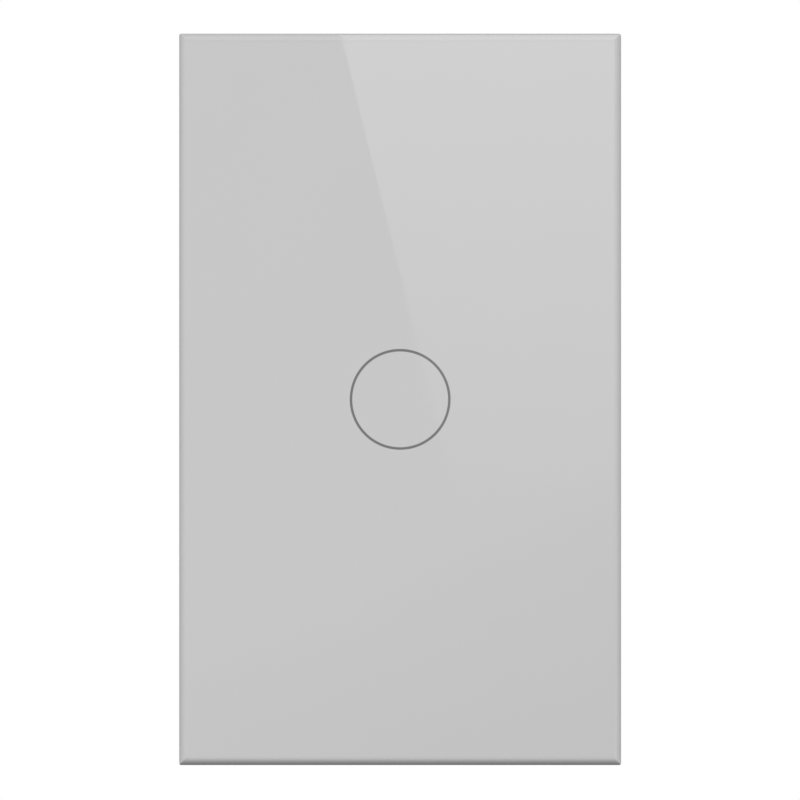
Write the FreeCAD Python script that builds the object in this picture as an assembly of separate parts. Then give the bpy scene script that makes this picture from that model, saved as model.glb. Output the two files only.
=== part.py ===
import FreeCAD, Part

import math
import os

from FreeCAD import Vector

# Glass-fronted touch light switch for a one-gang wall box, in millimetres.
# X runs across the panel, Z up it, and Y from the room into the wall. The origin is the
# middle of the wall-screw slots, on the face of the steel yoke that lies against the wall.

# Glass panel
panel_width = 72.5
panel_height = 120.0
front_projection = 10.5  # wall to the front of the glass
glass_thickness = 4.0
glass_corner_radius = 0.5
bevel_width = 1.2  # how far the polished edge reaches in over the front
bevel_depth = 0.7
rear_arris = 0.3

# Bonding tape between the glass and its carrier
tape_thickness = 0.5
tape_width = 7.0
tape_inset = 1.2  # from the edge of the frame

# Moulded carrier frame of the panel
frame_overhang = 0.7  # the glass stands out past the frame by this much
frame_web = 1.6
frame_wall = 1.5
frame_corner_radius = 1.6
frame_wall_gap = 0.6  # rear edge of the skirt to the wall
frame_pocket_depth = 0.7
frame_pocket_margin = 5.0
frame_pocket_rib = 2.2
pocket_columns = 2
pocket_rows = 2  # above the ring, and as many below it
pry_notch_width = 9.0
pry_notch_depth = 1.4

# Base cover behind the panel
cover_side_gap = 0.6
cover_front_gap = 0.4
cover_wall = 1.5
cover_corner_radius = 1.2
cover_rib = 1.0
screw_window_width = 14.0
screw_window_height = 13.0

# Leaf clips that hold the panel frame on the cover
clip_thickness = 0.4
clip_side_gap = 0.2  # to the cover's wall in front and to the yoke behind
clip_spread = 36.0  # height of each clip's middle above or below the centre
clip_length = 18.0
clip_foot = 3.6  # straight leg at each end
clip_crest = 2.0
clip_engagement = 0.45  # how far the crest reaches into the frame's groove
clip_gap = 0.3
clip_post_width = 1.6
clip_post_length = 3.0

# Steel mounting yoke
yoke_thickness = 1.2
yoke_margin = 0.85
yoke_corner_radius = 3.0
box_screw_spacing = 83.3
box_slot_width = 4.2
box_slot_length = 6.5

# Lanced earth tab of the yoke and its green screw
earth_tab_x = -10.5
earth_tab_width = 6.0
earth_tab_length = 9.0
earth_tab_gap = 2.0  # from the housing to the slot that the tab was cut from
earth_bend_radius = 1.0
earth_screw_radius = 1.75
earth_screw_length = 3.2
earth_head_radius = 2.9
earth_head_height = 2.0

# Rear housing that goes into the wall box
housing_width = 47.0
housing_height = 67.0
housing_wall = 2.0
housing_draft = 0.8  # how far each side leans in over the whole depth
housing_corner_radius = 4.0
housing_room = 1.2  # above the tallest part on the board
ear_inset = 1.0
ear_reach = 3.5  # from the housing's end to the screw
ear_radius = 4.0
ear_thickness = 3.0
board_post = 3.4
board_hook_width = 6.0
board_hook_bite = 0.8
board_hook_height = 1.6
board_hook_gap = 0.1
vent_count = 7
vent_width = 1.4
vent_length = 12.0
vent_pitch = 4.0
vent_edge = 7.5  # from the housing's top to the vents
strip_gauge_length = 11.0
strip_gauge_width = 1.6
strip_gauge_depth = 0.6

# Screws that join the housing, yoke and cover
housing_screw_radius = 1.25
housing_screw_bite = 2.2  # thread in the cover
housing_head_radius = 2.7
housing_head_height = 1.7
screw_hole_clearance = 0.3
pilot_clearance = 0.03
driver_slot_width = 0.7
driver_slot_depth = 0.8

# Touch board and what is on it
touch_board_front = 0.6
touch_board_thickness = 1.2
window_side_margin = 0.5  # yoke window inside the housing's walls
window_end_margin = 2.5
board_clearance = 1.0
board_screw_edge = 3.6  # from the board's edges to its screws
board_boss = 4.6
board_screw_radius = 1.0
board_screw_bite = 2.4
board_head_radius = 1.9
board_head_height = 1.2

# Ring of light: the printed ring on the glass sits over this guide
ring_radius = 8.06
guide_wall = 1.8
guide_glass_gap = 0.3
guide_hole_gap = 0.15
panel_hole_gap = 0.5
guide_tab_count = 3
guide_tab_width = 3.0
guide_tab_reach = 2.2
guide_tab_thickness = 1.0
led_length = 1.6
led_width = 0.8
led_height = 0.7
led_count = 4
led_gap = 0.15

# Touch spring from the board to the back of the glass
spring_radius = 3.4
spring_wire = 0.6
spring_turns = 3.5
spring_glass_gap = 0.3
wire_sides = 6

# Touch chip, radio module and board-to-board connector
touch_chip_length = 9.9
touch_chip_width = 3.9
touch_chip_height = 1.5
chip_leg_width = 0.4
chip_leg_pitch = 1.27
chip_leg_thickness = 0.25
chip_leg_knee = 0.3
chip_leg_foot = 0.75
radio_width = 16.0
radio_height = 18.0
radio_board_thickness = 0.8
radio_edge = 1.5
shield_margin = 1.5  # aerial strip left free above the can
shield_strip = 5.0
shield_depth = 2.2
pin_count = 5
pin_pitch = 2.54
pin_width = 0.64
pin_hole_gap = 0.13
pin_reach = 4.4  # past the header, into the socket
header_height = 2.5
header_depth = 2.5
header_z = -16.0
connector_gap = 0.1
socket_depth = 5.0
socket_floor = 0.4

# Power board
power_board_thickness = 1.6
board_side_gap = 0.4
part_gap = 2.4  # between neighbouring parts on a board
board_edge_gap = 1.0
passive_length = 2.0
passive_width = 1.25
passive_height = 0.6
passive_rows = 3
passive_pitch = 4.0

# Screw terminals: a captive screw lifts a brass cage and nips the wire on a fixed tab
pole_count = 3
pole_pitch = 7.62
block_end_wall = 0.72
block_back_gap = 0.3
block_face_wall = 1.6
cage_outer_width = 5.4
cage_length = 5.8
cage_side = 0.8
cage_floor = 0.9
cage_nut = 1.6
cage_board_gap = 0.5
cage_cavity_gap = 0.2
wire_gap = 3.4
wire_hole = 3.6
tab_width = 3.4
tab_thickness = 0.8
tab_leg_gap = 0.2
tab_nut_gap = 0.6
terminal_screw_radius = 1.5
terminal_head_radius = 2.3
terminal_head_height = 1.6
terminal_thread_gap = 0.05
terminal_head_gap = 0.3
cage_travel = 2.6
shelf_gap = 0.2
shelf_thickness = 0.8

# Relay: the coil pulls the armature, whose leaf closes the contact
relay_wall = 0.8
relay_fit_gap = 0.1
relay_room = 0.5  # from the moving parts to the cover
relay_base_thickness = 2.0
relay_iron = 1.2
coil_flange_size = 9.4
coil_flange_thickness = 0.8
coil_length = 6.6
winding_depth = 1.7
coil_core_radius = 2.0
coil_tube_wall = 0.6
pole_face_radius = 3.2
pole_face_thickness = 0.8
armature_gap = 0.7
armature_bearing_gap = 0.05
leaf_width = 4.0
leaf_thickness = 0.3
leaf_reach = 3.3  # past the end of the armature
contact_radius = 1.1
contact_height = 0.5
contact_gap = 0.8
contact_strap = 0.5
contact_edge = 0.3

# Supply parts on the power board
core_length = 12.6
core_depth = 5.8
core_leg = 2.6
core_window = 2.7
bobbin_foot = 1.0
winding_bulge = 3.1  # how far the winding stands out past the core on each side
big_capacitor_radius = 4.0
big_capacitor_height = 13.0
small_capacitor_radius = 3.15
small_capacitor_height = 11.0
safety_cap_length = 13.0
safety_cap_width = 6.0
safety_cap_height = 12.0
varistor_radius = 5.0
varistor_thickness = 4.0
varistor_lift = 1.0
fuse_length = 8.4
fuse_width = 4.2
fuse_height = 7.8
bridge_length = 4.7
bridge_width = 3.9
bridge_height = 2.4
regulator_length = 4.9

# Places along the depth, worked out from the sizes above
glass_front = -front_projection
glass_back = glass_front + glass_thickness
frame_front = glass_back + tape_thickness
web_back = frame_front + frame_web
frame_back = -frame_wall_gap
cover_front = web_back + cover_front_gap
cover_inside = cover_front + cover_wall
cover_back = -yoke_thickness
touch_board_back = touch_board_front + touch_board_thickness
header_back = touch_board_back + header_depth
power_board_front = header_back + connector_gap + socket_depth
power_board_back = power_board_front + power_board_thickness

# Widths and heights, worked out from the panel inwards
frame_width = panel_width - 2 * frame_overhang
frame_height = panel_height - 2 * frame_overhang
frame_inner_width = frame_width - 2 * frame_wall
frame_inner_height = frame_height - 2 * frame_wall
cover_width = frame_inner_width - 2 * cover_side_gap
cover_height = frame_inner_height - 2 * cover_side_gap
yoke_width = cover_width - 2 * yoke_margin
yoke_height = cover_height - 2 * yoke_margin
yoke_window_width = housing_width - 2 * (housing_wall + window_side_margin)
yoke_window_height = housing_height - 2 * (housing_wall + window_end_margin)
touch_board_width = yoke_window_width - 2 * board_clearance
touch_board_height = yoke_window_height - 2 * board_clearance
power_board_width = housing_width - 2 * (housing_wall + housing_draft + board_side_gap)
power_board_height = housing_height - 2 * (housing_wall + housing_draft + board_side_gap)
ear_x = housing_width / 2 - ear_radius - ear_inset
ear_z = housing_height / 2 + ear_reach
earth_tab_z = -housing_height / 2 - earth_tab_gap
guide_outer = ring_radius + guide_wall / 2
guide_inner = ring_radius - guide_wall / 2

# Terminal stack, from the power board to the screw heads
cage_front = power_board_back + cage_board_gap
wire_front = cage_front + cage_floor
tab_front = wire_front + wire_gap
tab_back = tab_front + tab_thickness
nut_front = tab_back + tab_nut_gap
nut_back = nut_front + cage_nut
cavity_back = nut_back + cage_travel + shelf_gap
head_front = cavity_back + shelf_thickness + terminal_thread_gap
head_back = head_front + terminal_head_height
wire_middle = (wire_front + tab_front) / 2
pole_places = [(i - (pole_count - 1) / 2) * pole_pitch for i in range(pole_count)]
block_low = -power_board_height / 2
cavity_low = block_low + block_face_wall
terminal_z = cavity_low + cage_cavity_gap + cage_length / 2
cavity_high = terminal_z + cage_length / 2 + tab_leg_gap + tab_thickness
block_high = cavity_high + block_face_wall

# Relay stack, from the power board to the leaf, and along the relay from its iron frame
relay_floor = power_board_back + relay_base_thickness
bobbin_front = relay_floor + relay_iron
bobbin_back = bobbin_front + coil_length + 2 * coil_flange_thickness
pole_back = bobbin_back + pole_face_thickness
armature_front = pole_back + armature_gap
armature_back = armature_front + relay_iron
leaf_back = armature_back + leaf_thickness
moving_contact_front = armature_back - contact_height
fixed_contact_back = moving_contact_front - contact_gap
relay_back = leaf_back + relay_room + relay_wall
relay_width = coil_flange_size + 2 * (relay_room + relay_wall)
relay_low = block_high + part_gap
iron_low = relay_low + relay_wall + relay_room
coil_z = iron_low + relay_iron + relay_fit_gap + coil_flange_size / 2
armature_high = coil_z + coil_flange_size / 2
leaf_high = armature_high + leaf_reach
contact_z = leaf_high - contact_radius
relay_high = leaf_high + relay_room + relay_wall
relay_z = (relay_low + relay_high) / 2
relay_length = relay_high - relay_low
relay_x = -power_board_width / 2 + board_edge_gap + relay_width / 2

# Places of the other parts on the power board: a row above the relay, and one beside it
core_width = 3 * core_leg + 2 * core_window
winding_size = core_depth + 2 * winding_bulge
transformer_x = relay_x + relay_width / 2 + part_gap + core_width / 2
transformer_z = block_high + part_gap + winding_size / 2
transformer_high = transformer_z + winding_size / 2
big_capacitor_x = power_board_width / 2 - board_edge_gap - big_capacitor_radius
big_capacitor_z = transformer_high + part_gap + big_capacitor_radius
varistor_x = big_capacitor_x - big_capacitor_radius - part_gap - varistor_radius
varistor_z = transformer_high + part_gap + varistor_thickness / 2
safety_cap_x = big_capacitor_x - safety_cap_length / 2
safety_cap_z = big_capacitor_z + big_capacitor_radius + part_gap + safety_cap_width / 2
small_capacitor_x = -power_board_width / 2 + board_edge_gap + small_capacitor_radius
small_capacitor_z = relay_high + part_gap + small_capacitor_radius
bridge_x = small_capacitor_x + small_capacitor_radius + part_gap + bridge_length / 2
bridge_z = small_capacitor_z
fuse_x = small_capacitor_x - small_capacitor_radius + fuse_length / 2
fuse_z = small_capacitor_z + small_capacitor_radius + part_gap + fuse_width / 2
regulator_x = safety_cap_x
regulator_z = safety_cap_z + safety_cap_width / 2 + part_gap + touch_chip_width
tallest = max(
    relay_back - power_board_back,
    head_back - power_board_back,
    bobbin_foot + core_length,
    big_capacitor_height,
    safety_cap_height,
)
housing_inside = power_board_back + tallest + housing_room
housing_depth = housing_inside + housing_wall
block_back = housing_inside - block_back_gap


def block(x_low, x_high, y_low, y_high, z_low, z_high):
    """Box between two corners."""
    return Part.makeBox(x_high - x_low, y_high - y_low, z_high - z_low, Vector(x_low, y_low, z_low))


def centred_block(x, z, width, height, y_low, y_high):
    """Box centred on x and z."""
    return block(x - width / 2, x + width / 2, y_low, y_high, z - height / 2, z + height / 2)


def side_block(side, near, far, y_low, y_high, z_low, z_high):
    """Box that spans two distances from the middle plane, on the side given by its sign."""
    x_low, x_high = sorted((side * near, side * far))
    return block(x_low, x_high, y_low, y_high, z_low, z_high)


def rod(x, z, radius, y_low, y_high):
    """Cylinder along the depth."""
    return Part.makeCylinder(radius, y_high - y_low, Vector(x, y_low, z), Vector(0, 1, 0))


def tube(x, z, inner, outer, y_low, y_high):
    """Round tube along the depth."""
    return rod(x, z, outer, y_low, y_high).cut(rod(x, z, inner, y_low, y_high))


def upright_edges(shape, reach):
    """Edges that run along the whole depth given by reach, leaning or not."""
    return [e for e in shape.Edges if abs(e.BoundBox.YLength - reach) < reach * 0.01]


def rounded_plate(width, height, radius, y_low, y_high):
    """Plate with round corners between two depths."""
    plate = centred_block(0, 0, width, height, y_low, y_high)
    return plate.makeFillet(radius, upright_edges(plate, y_high - y_low))


def drafted_block(width, height, lean, y_low, y_high):
    """Block whose four sides lean in towards the far end."""
    half_w = width / 2
    half_h = height / 2
    return Part.makeWedge(
        -half_w, y_low, -half_h, lean - half_h, lean - half_w,
        half_w, y_high, half_h, half_h - lean, half_w - lean,
    )


def oblong(x, z, width, length, y_low, y_high):
    """Slot or lobe with round ends, standing along Z."""
    straight = length - width
    middle = centred_block(x, z, width, straight, y_low, y_high)
    ends = [rod(x, z + s * straight / 2, width / 2, y_low, y_high) for s in (-1, 1)]
    return middle.fuse(ends).removeSplitter()


def headed_screw(x, z, shank, head, head_height, tip, seat):
    """Plain-headed screw along the depth, its head beyond the seat and its tip the other way."""
    way = 1 if seat > tip else -1
    crown = seat + way * head_height
    head_rod = rod(x, z, head, min(seat, crown), max(seat, crown))
    return head_rod.fuse(rod(x, z, shank, min(tip, seat), max(tip, seat)))


def glass_panel():
    """Tempered glass with a polished, rounded front edge all round and a fine arris behind."""
    half_w = panel_width / 2
    half_h = panel_height / 2
    bend = (bevel_width ** 2 + bevel_depth ** 2) / (2 * bevel_depth)
    turn = math.asin(bevel_width / bend)
    mid_out = bend * math.sin(turn / 2)
    mid_down = bend * (1 - math.cos(turn / 2))

    def slab(half, place, sweep):
        """The edge section across one direction, swept along the other."""
        edges = []
        for side in (1, -1):
            points = [
                place(side * (half - bevel_width), glass_front),
                place(side * (half - bevel_width + mid_out), glass_front + mid_down),
                place(side * half, glass_front + bevel_depth),
                place(side * half, glass_back - rear_arris),
                place(side * (half - rear_arris), glass_back),
            ]
            edges.append(Part.Arc(*points[:3]).toShape())
            edges.append(Part.LineSegment(points[2], points[3]).toShape())
            edges.append(Part.LineSegment(points[3], points[4]).toShape())
        front = (place(half - bevel_width, glass_front), place(bevel_width - half, glass_front))
        back = (place(half - rear_arris, glass_back), place(rear_arris - half, glass_back))
        edges.append(Part.LineSegment(*front).toShape())
        edges.append(Part.LineSegment(*back).toShape())
        outline = Part.Wire(Part.__sortEdges__(edges))
        return Part.Face(outline).extrude(sweep)

    across = slab(half_w, lambda s, y: Vector(s, y, -half_h), Vector(0, 0, panel_height))
    upright = slab(half_h, lambda s, y: Vector(-half_w, y, s), Vector(panel_width, 0, 0))
    corners = rounded_plate(panel_width, panel_height, glass_corner_radius, glass_front, glass_back)
    return across.common(upright).common(corners)


def panel_tape():
    """Foam bonding tape, a closed rectangle between the glass and the frame."""
    width = frame_width - 2 * tape_inset
    height = frame_height - 2 * tape_inset
    outer = centred_block(0, 0, width, height, glass_back, frame_front)
    inner = centred_block(0, 0, width - 2 * tape_width, height - 2 * tape_width, glass_back, frame_front)
    return outer.cut(inner)


def clip_places():
    """Side and height of each clip's middle."""
    return [(side, end * clip_spread) for side in (-1, 1) for end in (-1, 1)]


def frame_pockets():
    """Shallow cored pockets in the back of the frame's web, in rows above and below the ring."""
    usable_w = frame_inner_width - 2 * frame_pocket_margin
    pocket_w = (usable_w - (pocket_columns - 1) * frame_pocket_rib) / pocket_columns
    first = guide_outer + panel_hole_gap + frame_pocket_margin
    usable_h = frame_inner_height / 2 - frame_pocket_margin - first
    pocket_h = (usable_h - (pocket_rows - 1) * frame_pocket_rib) / pocket_rows
    pockets = []
    for column in range(pocket_columns):
        x = (column - (pocket_columns - 1) / 2) * (pocket_w + frame_pocket_rib)
        for row in range(pocket_rows):
            z = first + pocket_h / 2 + row * (pocket_h + frame_pocket_rib)
            for end in (-1, 1):
                pockets.append(centred_block(
                    x, end * z, pocket_w, pocket_h, web_back - frame_pocket_depth, web_back
                ))
    return pockets


def panel_frame():
    """Carrier frame: a web bonded to the glass and a skirt that slips over the base cover."""
    body = rounded_plate(frame_width, frame_height, frame_corner_radius, frame_front, frame_back)
    inside = centred_block(0, 0, frame_inner_width, frame_inner_height, web_back, frame_back)
    light_hole = rod(0, 0, guide_outer + panel_hole_gap, frame_front, web_back)
    notch = centred_block(
        0, -frame_height / 2, pry_notch_width, 2 * frame_wall, frame_back - pry_notch_depth, frame_back
    )
    grooves = []
    for side, z in clip_places():
        half = clip_length / 2 - clip_foot
        grooves.append(side_block(
            side, frame_inner_width / 2, frame_inner_width / 2 + clip_engagement + clip_gap,
            cover_inside - clip_gap, cover_back + clip_gap, z - half, z + half,
        ))
    return body.cut([inside, light_hole, notch] + grooves + frame_pockets())


def housing_screw_places():
    """Places of the four screws that join the housing, yoke and cover."""
    return [(sx * ear_x, sz * ear_z) for sx in (-1, 1) for sz in (-1, 1)]


def board_screw_places():
    """Places of the touch board's two screws, on one diagonal."""
    x = touch_board_width / 2 - board_screw_edge
    z = touch_board_height / 2 - board_screw_edge
    return [(-x, z), (x, -z)]


def base_cover():
    """Moulded cover over the yoke, with windows to the wall screws and a hole for the ring."""
    body = rounded_plate(cover_width, cover_height, cover_corner_radius, cover_front, cover_back)
    body = body.cut(centred_block(
        0, 0, cover_width - 2 * cover_wall, cover_height - 2 * cover_wall, cover_inside, cover_back
    ))
    added = []
    removed = [rod(0, 0, guide_outer + guide_hole_gap, cover_front, cover_inside)]
    rib_length = 2 * (clip_leg_x() - clip_thickness / 2 - clip_post_width)
    for end in (-1, 1):
        window_z = end * box_screw_spacing / 2
        added.append(centred_block(
            0, window_z, screw_window_width + 2 * cover_rib, screw_window_height + 2 * cover_rib,
            cover_inside, cover_back,
        ))
        removed.append(centred_block(
            0, window_z, screw_window_width, screw_window_height, cover_front, cover_back
        ))
        added.append(centred_block(
            0, end * (yoke_window_height / 2 + cover_rib), rib_length, cover_rib,
            cover_inside, cover_back,
        ))
    for side, z in clip_places():
        added += clip_posts(side, z)
        half = clip_length / 2 - clip_foot
        removed.append(side_block(
            side, cover_width / 2 - cover_wall, cover_width / 2, cover_inside, cover_back,
            z - half, z + half,
        ))
    boss = 2 * (housing_screw_radius + cover_wall)
    for x, z in housing_screw_places():
        added.append(centred_block(x, z, boss, boss, cover_inside, cover_back))
        removed.append(rod(
            x, z, housing_screw_radius + pilot_clearance,
            cover_back - housing_screw_bite - pilot_clearance, cover_back,
        ))
    for x, z in board_screw_places():
        added.append(centred_block(x, z, board_boss, board_boss, cover_inside, touch_board_front))
        removed.append(rod(
            x, z, board_screw_radius + pilot_clearance,
            touch_board_front - board_screw_bite - pilot_clearance, touch_board_front,
        ))
    return body.fuse(added).cut(removed).removeSplitter()


def clip_leg_x():
    """Distance from the middle plane to the middle of the clips' straight legs."""
    return cover_width / 2 - cover_wall - clip_gap - clip_thickness / 2


def clip_posts(side, z):
    """Two posts on the cover that the clip's legs bear on from inside."""
    near = clip_leg_x() - clip_thickness / 2
    posts = []
    for end in (-1, 1):
        middle = z + end * (clip_length - clip_post_length) / 2
        posts.append(side_block(
            side, near - clip_post_width, near, cover_inside, cover_back,
            middle - clip_post_length / 2, middle + clip_post_length / 2,
        ))
    return posts


def panel_clips():
    """Four bowed leaf springs. Each crest stands out through a window in the cover's side."""
    crest_x = frame_inner_width / 2 + clip_engagement - clip_thickness / 2
    leg_x = clip_leg_x()
    width = cover_back - cover_inside - 2 * clip_side_gap
    clips = []
    for side, middle in clip_places():
        profile = [
            (leg_x, -clip_length / 2), (leg_x, clip_foot - clip_length / 2),
            (crest_x, -clip_crest / 2), (crest_x, clip_crest / 2),
            (leg_x, clip_length / 2 - clip_foot), (leg_x, clip_length / 2),
        ]
        inner = [Vector(side * (x - clip_thickness / 2), cover_inside + clip_side_gap, middle + z)
                 for x, z in profile]
        outer = [p + Vector(side * clip_thickness, 0, 0) for p in reversed(inner)]
        face = Part.Face(Part.makePolygon(inner + outer + [inner[0]]))
        clips.append(face.extrude(Vector(0, width, 0)))
    return clips


def earth_screw_depth():
    """Depth of the earth screw's axis, in the middle of the tab's flat part."""
    return (earth_bend_radius + earth_tab_length) / 2


def earth_tab():
    """Tab cut free from the yoke and bent back into the box, with its tapped hole."""
    inner = earth_bend_radius
    outer = earth_bend_radius + yoke_thickness
    half_turn = math.sqrt(0.5)
    x = earth_tab_x - earth_tab_width / 2
    z = earth_tab_z
    inner_arc = [
        Vector(x, 0, z),
        Vector(x, inner - inner * half_turn, z - inner * half_turn),
        Vector(x, inner, z - inner),
    ]
    outer_arc = [
        Vector(x, inner, z - outer),
        Vector(x, inner - outer * half_turn, z - outer * half_turn),
        Vector(x, inner - outer, z),
    ]
    tip = [Vector(x, earth_tab_length, z - inner), Vector(x, earth_tab_length, z - outer)]
    edges = [
        Part.Arc(*inner_arc).toShape(),
        Part.LineSegment(inner_arc[2], tip[0]).toShape(),
        Part.LineSegment(tip[0], tip[1]).toShape(),
        Part.LineSegment(tip[1], outer_arc[0]).toShape(),
        Part.Arc(*outer_arc).toShape(),
        Part.LineSegment(outer_arc[2], inner_arc[0]).toShape(),
    ]
    tab = Part.Face(Part.Wire(edges)).extrude(Vector(earth_tab_width, 0, 0))
    hole = Part.makeCylinder(
        earth_screw_radius + pilot_clearance, yoke_thickness,
        Vector(earth_tab_x, earth_screw_depth(), z - outer), Vector(0, 0, 1),
    )
    return tab.cut(hole)


def mounting_yoke():
    """Stamped steel yoke, with slots for the wall-box screws and the bent earth tab."""
    plate = rounded_plate(yoke_width, yoke_height, yoke_corner_radius, -yoke_thickness, 0)
    removed = [centred_block(0, 0, yoke_window_width, yoke_window_height, -yoke_thickness, 0)]
    for end in (-1, 1):
        removed.append(oblong(
            0, end * box_screw_spacing / 2, box_slot_width, box_slot_length, -yoke_thickness, 0
        ))
    for x, z in housing_screw_places():
        removed.append(rod(x, z, housing_screw_radius + screw_hole_clearance, -yoke_thickness, 0))
    blank = earth_tab_length - earth_bend_radius + math.pi / 2 * (earth_bend_radius + yoke_thickness / 2)
    removed.append(block(
        earth_tab_x - earth_tab_width / 2, earth_tab_x + earth_tab_width / 2,
        -yoke_thickness, 0, earth_tab_z - blank, earth_tab_z,
    ))
    return plate.cut(removed).fuse(earth_tab()).removeSplitter()


def earth_screw():
    """Green earth screw, put in from below through the tab."""
    seat = earth_tab_z - earth_bend_radius - yoke_thickness
    centre = Vector(earth_tab_x, earth_screw_depth(), seat)
    head = Part.makeCylinder(earth_head_radius, earth_head_height, centre, Vector(0, 0, -1))
    shank = Part.makeCylinder(earth_screw_radius, earth_screw_length, centre, Vector(0, 0, 1))
    slot = Part.makeBox(
        2 * earth_head_radius, driver_slot_width, driver_slot_depth,
        Vector(centre.x - earth_head_radius, centre.y - driver_slot_width / 2, seat - earth_head_height),
    )
    return head.cut(slot).fuse(shank)


def board_hooks():
    """Snap hooks on the housing's side walls that hold the power board on its posts."""
    back = power_board_front - board_hook_gap
    lean = housing_draft * power_board_front / housing_depth
    root = housing_width / 2 - housing_wall / 2 - lean
    edge = power_board_width / 2 - board_hook_bite
    hooks = []
    for side in (-1, 1):
        profile = [
            Vector(side * edge, back, -board_hook_width / 2),
            Vector(side * root, back, -board_hook_width / 2),
            Vector(side * root, back - 2 * board_hook_height, -board_hook_width / 2),
            Vector(side * edge, back - board_hook_height / 2, -board_hook_width / 2),
        ]
        face = Part.Face(Part.makePolygon(profile + [profile[0]]))
        hooks.append(face.extrude(Vector(0, 0, board_hook_width)))
    return hooks


def rear_housing():
    """Deep moulded box with drafted walls, four screw ears, board posts, hooks and vents."""
    outer = drafted_block(housing_width, housing_height, housing_draft, 0, housing_depth)
    outer = outer.makeFillet(housing_corner_radius, upright_edges(outer, housing_depth))
    inner = drafted_block(
        housing_width - 2 * housing_wall, housing_height - 2 * housing_wall,
        housing_draft * housing_inside / housing_depth, 0, housing_inside,
    )
    ears = []
    for x, z in housing_screw_places():
        root = math.copysign(housing_height / 2 - ear_radius, z)
        length = abs(z - root) + 2 * ear_radius
        ears.append(oblong(x, (z + root) / 2, 2 * ear_radius, length, 0, ear_thickness))
    body = outer.fuse(ears).cut(inner)
    added = board_hooks()
    post_x = housing_width / 2 - housing_wall - board_post / 2
    post_z = housing_height / 2 - housing_wall - board_post / 2
    for sx in (-1, 1):
        for sz in (-1, 1):
            post = centred_block(
                sx * post_x, sz * post_z, board_post, board_post, power_board_back, housing_inside
            )
            added.append(post.common(outer))
    removed = [
        rod(x, z, housing_screw_radius + screw_hole_clearance, 0, ear_thickness)
        for x, z in housing_screw_places()
    ]
    for x in pole_places:
        removed.append(rod(
            x, terminal_z, terminal_head_radius + terminal_head_gap, housing_inside, housing_depth
        ))
        removed.append(centred_block(
            x, -housing_height / 2, wire_hole, 2 * (housing_wall + housing_draft),
            wire_middle - wire_hole / 2, wire_middle + wire_hole / 2,
        ))
    vent_z = housing_height / 2 - vent_edge - vent_length / 2
    for i in range(vent_count):
        x = (i - (vent_count - 1) / 2) * vent_pitch
        removed.append(centred_block(x, vent_z, vent_width, vent_length, housing_inside, housing_depth))
    removed.append(centred_block(
        0, 0, strip_gauge_length, strip_gauge_width,
        housing_depth - strip_gauge_depth, housing_depth,
    ))
    return body.fuse(added).cut(removed).removeSplitter()


def housing_screws():
    """Four self-tapping screws through the ears and the yoke into the cover."""
    tip = cover_back - housing_screw_bite
    return [
        headed_screw(x, z, housing_screw_radius, housing_head_radius, housing_head_height,
                     tip, ear_thickness)
        for x, z in housing_screw_places()
    ]


def board_screws():
    """Two small self-tapping screws that hold the touch board on the cover."""
    tip = touch_board_front - board_screw_bite
    return [
        headed_screw(x, z, board_screw_radius, board_head_radius, board_head_height,
                     tip, touch_board_back)
        for x, z in board_screw_places()
    ]


def pin_places():
    """Places across the header's pins."""
    return [(i - (pin_count - 1) / 2) * pin_pitch for i in range(pin_count)]


def header_z():
    """Height of the board-to-board connector, below the light guide."""
    return -(guide_outer + guide_tab_reach + part_gap + header_height)


def pin_holes(y_low, y_high, gap):
    """Square holes for the header's pins, wider than the pins by the gap on each side."""
    size = pin_width + 2 * gap
    return [centred_block(x, header_z(), size, size, y_low, y_high) for x in pin_places()]


def touch_board():
    """Circuit board that carries the ring's lamps, the touch spring and the radio."""
    board = centred_block(0, 0, touch_board_width, touch_board_height, touch_board_front, touch_board_back)
    holes = [
        rod(x, z, board_screw_radius + screw_hole_clearance, touch_board_front, touch_board_back)
        for x, z in board_screw_places()
    ]
    return board.cut(holes + pin_holes(touch_board_front, touch_board_back, pin_hole_gap))


def light_guide():
    """Milky tube that leads the lamps' light to the ring, with three tabs that stand on the board."""
    front = glass_back + guide_glass_gap
    back = touch_board_front - led_height - led_gap
    ring = tube(0, 0, guide_inner, guide_outer, front, back)
    tab_high = guide_outer + guide_tab_reach
    tabs = []
    for i in range(guide_tab_count):
        arm = block(
            -guide_tab_width / 2, guide_tab_width / 2, cover_inside,
            cover_inside + guide_tab_thickness, ring_radius, tab_high,
        )
        leg = block(
            -guide_tab_width / 2, guide_tab_width / 2, cover_inside, touch_board_front,
            tab_high - guide_tab_thickness, tab_high,
        )
        tab = arm.fuse(leg)
        tab.rotate(Vector(0, 0, 0), Vector(0, 1, 0), i * 360 / guide_tab_count)
        tabs.append(tab)
    return ring.fuse(tabs).removeSplitter()


def status_leds():
    """Chip lamps on the touch board under the light guide."""
    lamps = []
    for i in range(led_count):
        lamp = centred_block(
            ring_radius, 0, led_width, led_length, touch_board_front - led_height, touch_board_front
        )
        lamp.rotate(Vector(0, 0, 0), Vector(0, 1, 0), (i + 0.5) * 360 / led_count)
        lamps.append(lamp)
    return lamps


def arc_by_pole(start, pole, end):
    """The arc from start to end whose end tangents meet at pole."""
    middle = (start + end) * 0.5
    half_chord = (end - start).Length / 2
    rise = (pole - middle).Length
    sagitta = half_chord * (math.hypot(half_chord, rise) - half_chord) / rise
    top = middle + (pole - middle).normalize() * sagitta
    return Part.Arc(start, top, end).toShape()


def biarc(start, start_way, end, end_way):
    """Two arcs from start to end that keep the given directions and meet smoothly."""
    gap = end - start
    a = 2 * (1 - start_way.dot(end_way))
    b = 2 * gap.dot(start_way + end_way)
    c = -gap.dot(gap)
    reach = (math.sqrt(b * b - 4 * a * c) - b) / (2 * a)
    first_pole = start + start_way * reach
    last_pole = end - end_way * reach
    joint = (first_pole + last_pole) * 0.5
    return [arc_by_pole(start, first_pole, joint), arc_by_pole(joint, last_pole, end)]


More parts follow.
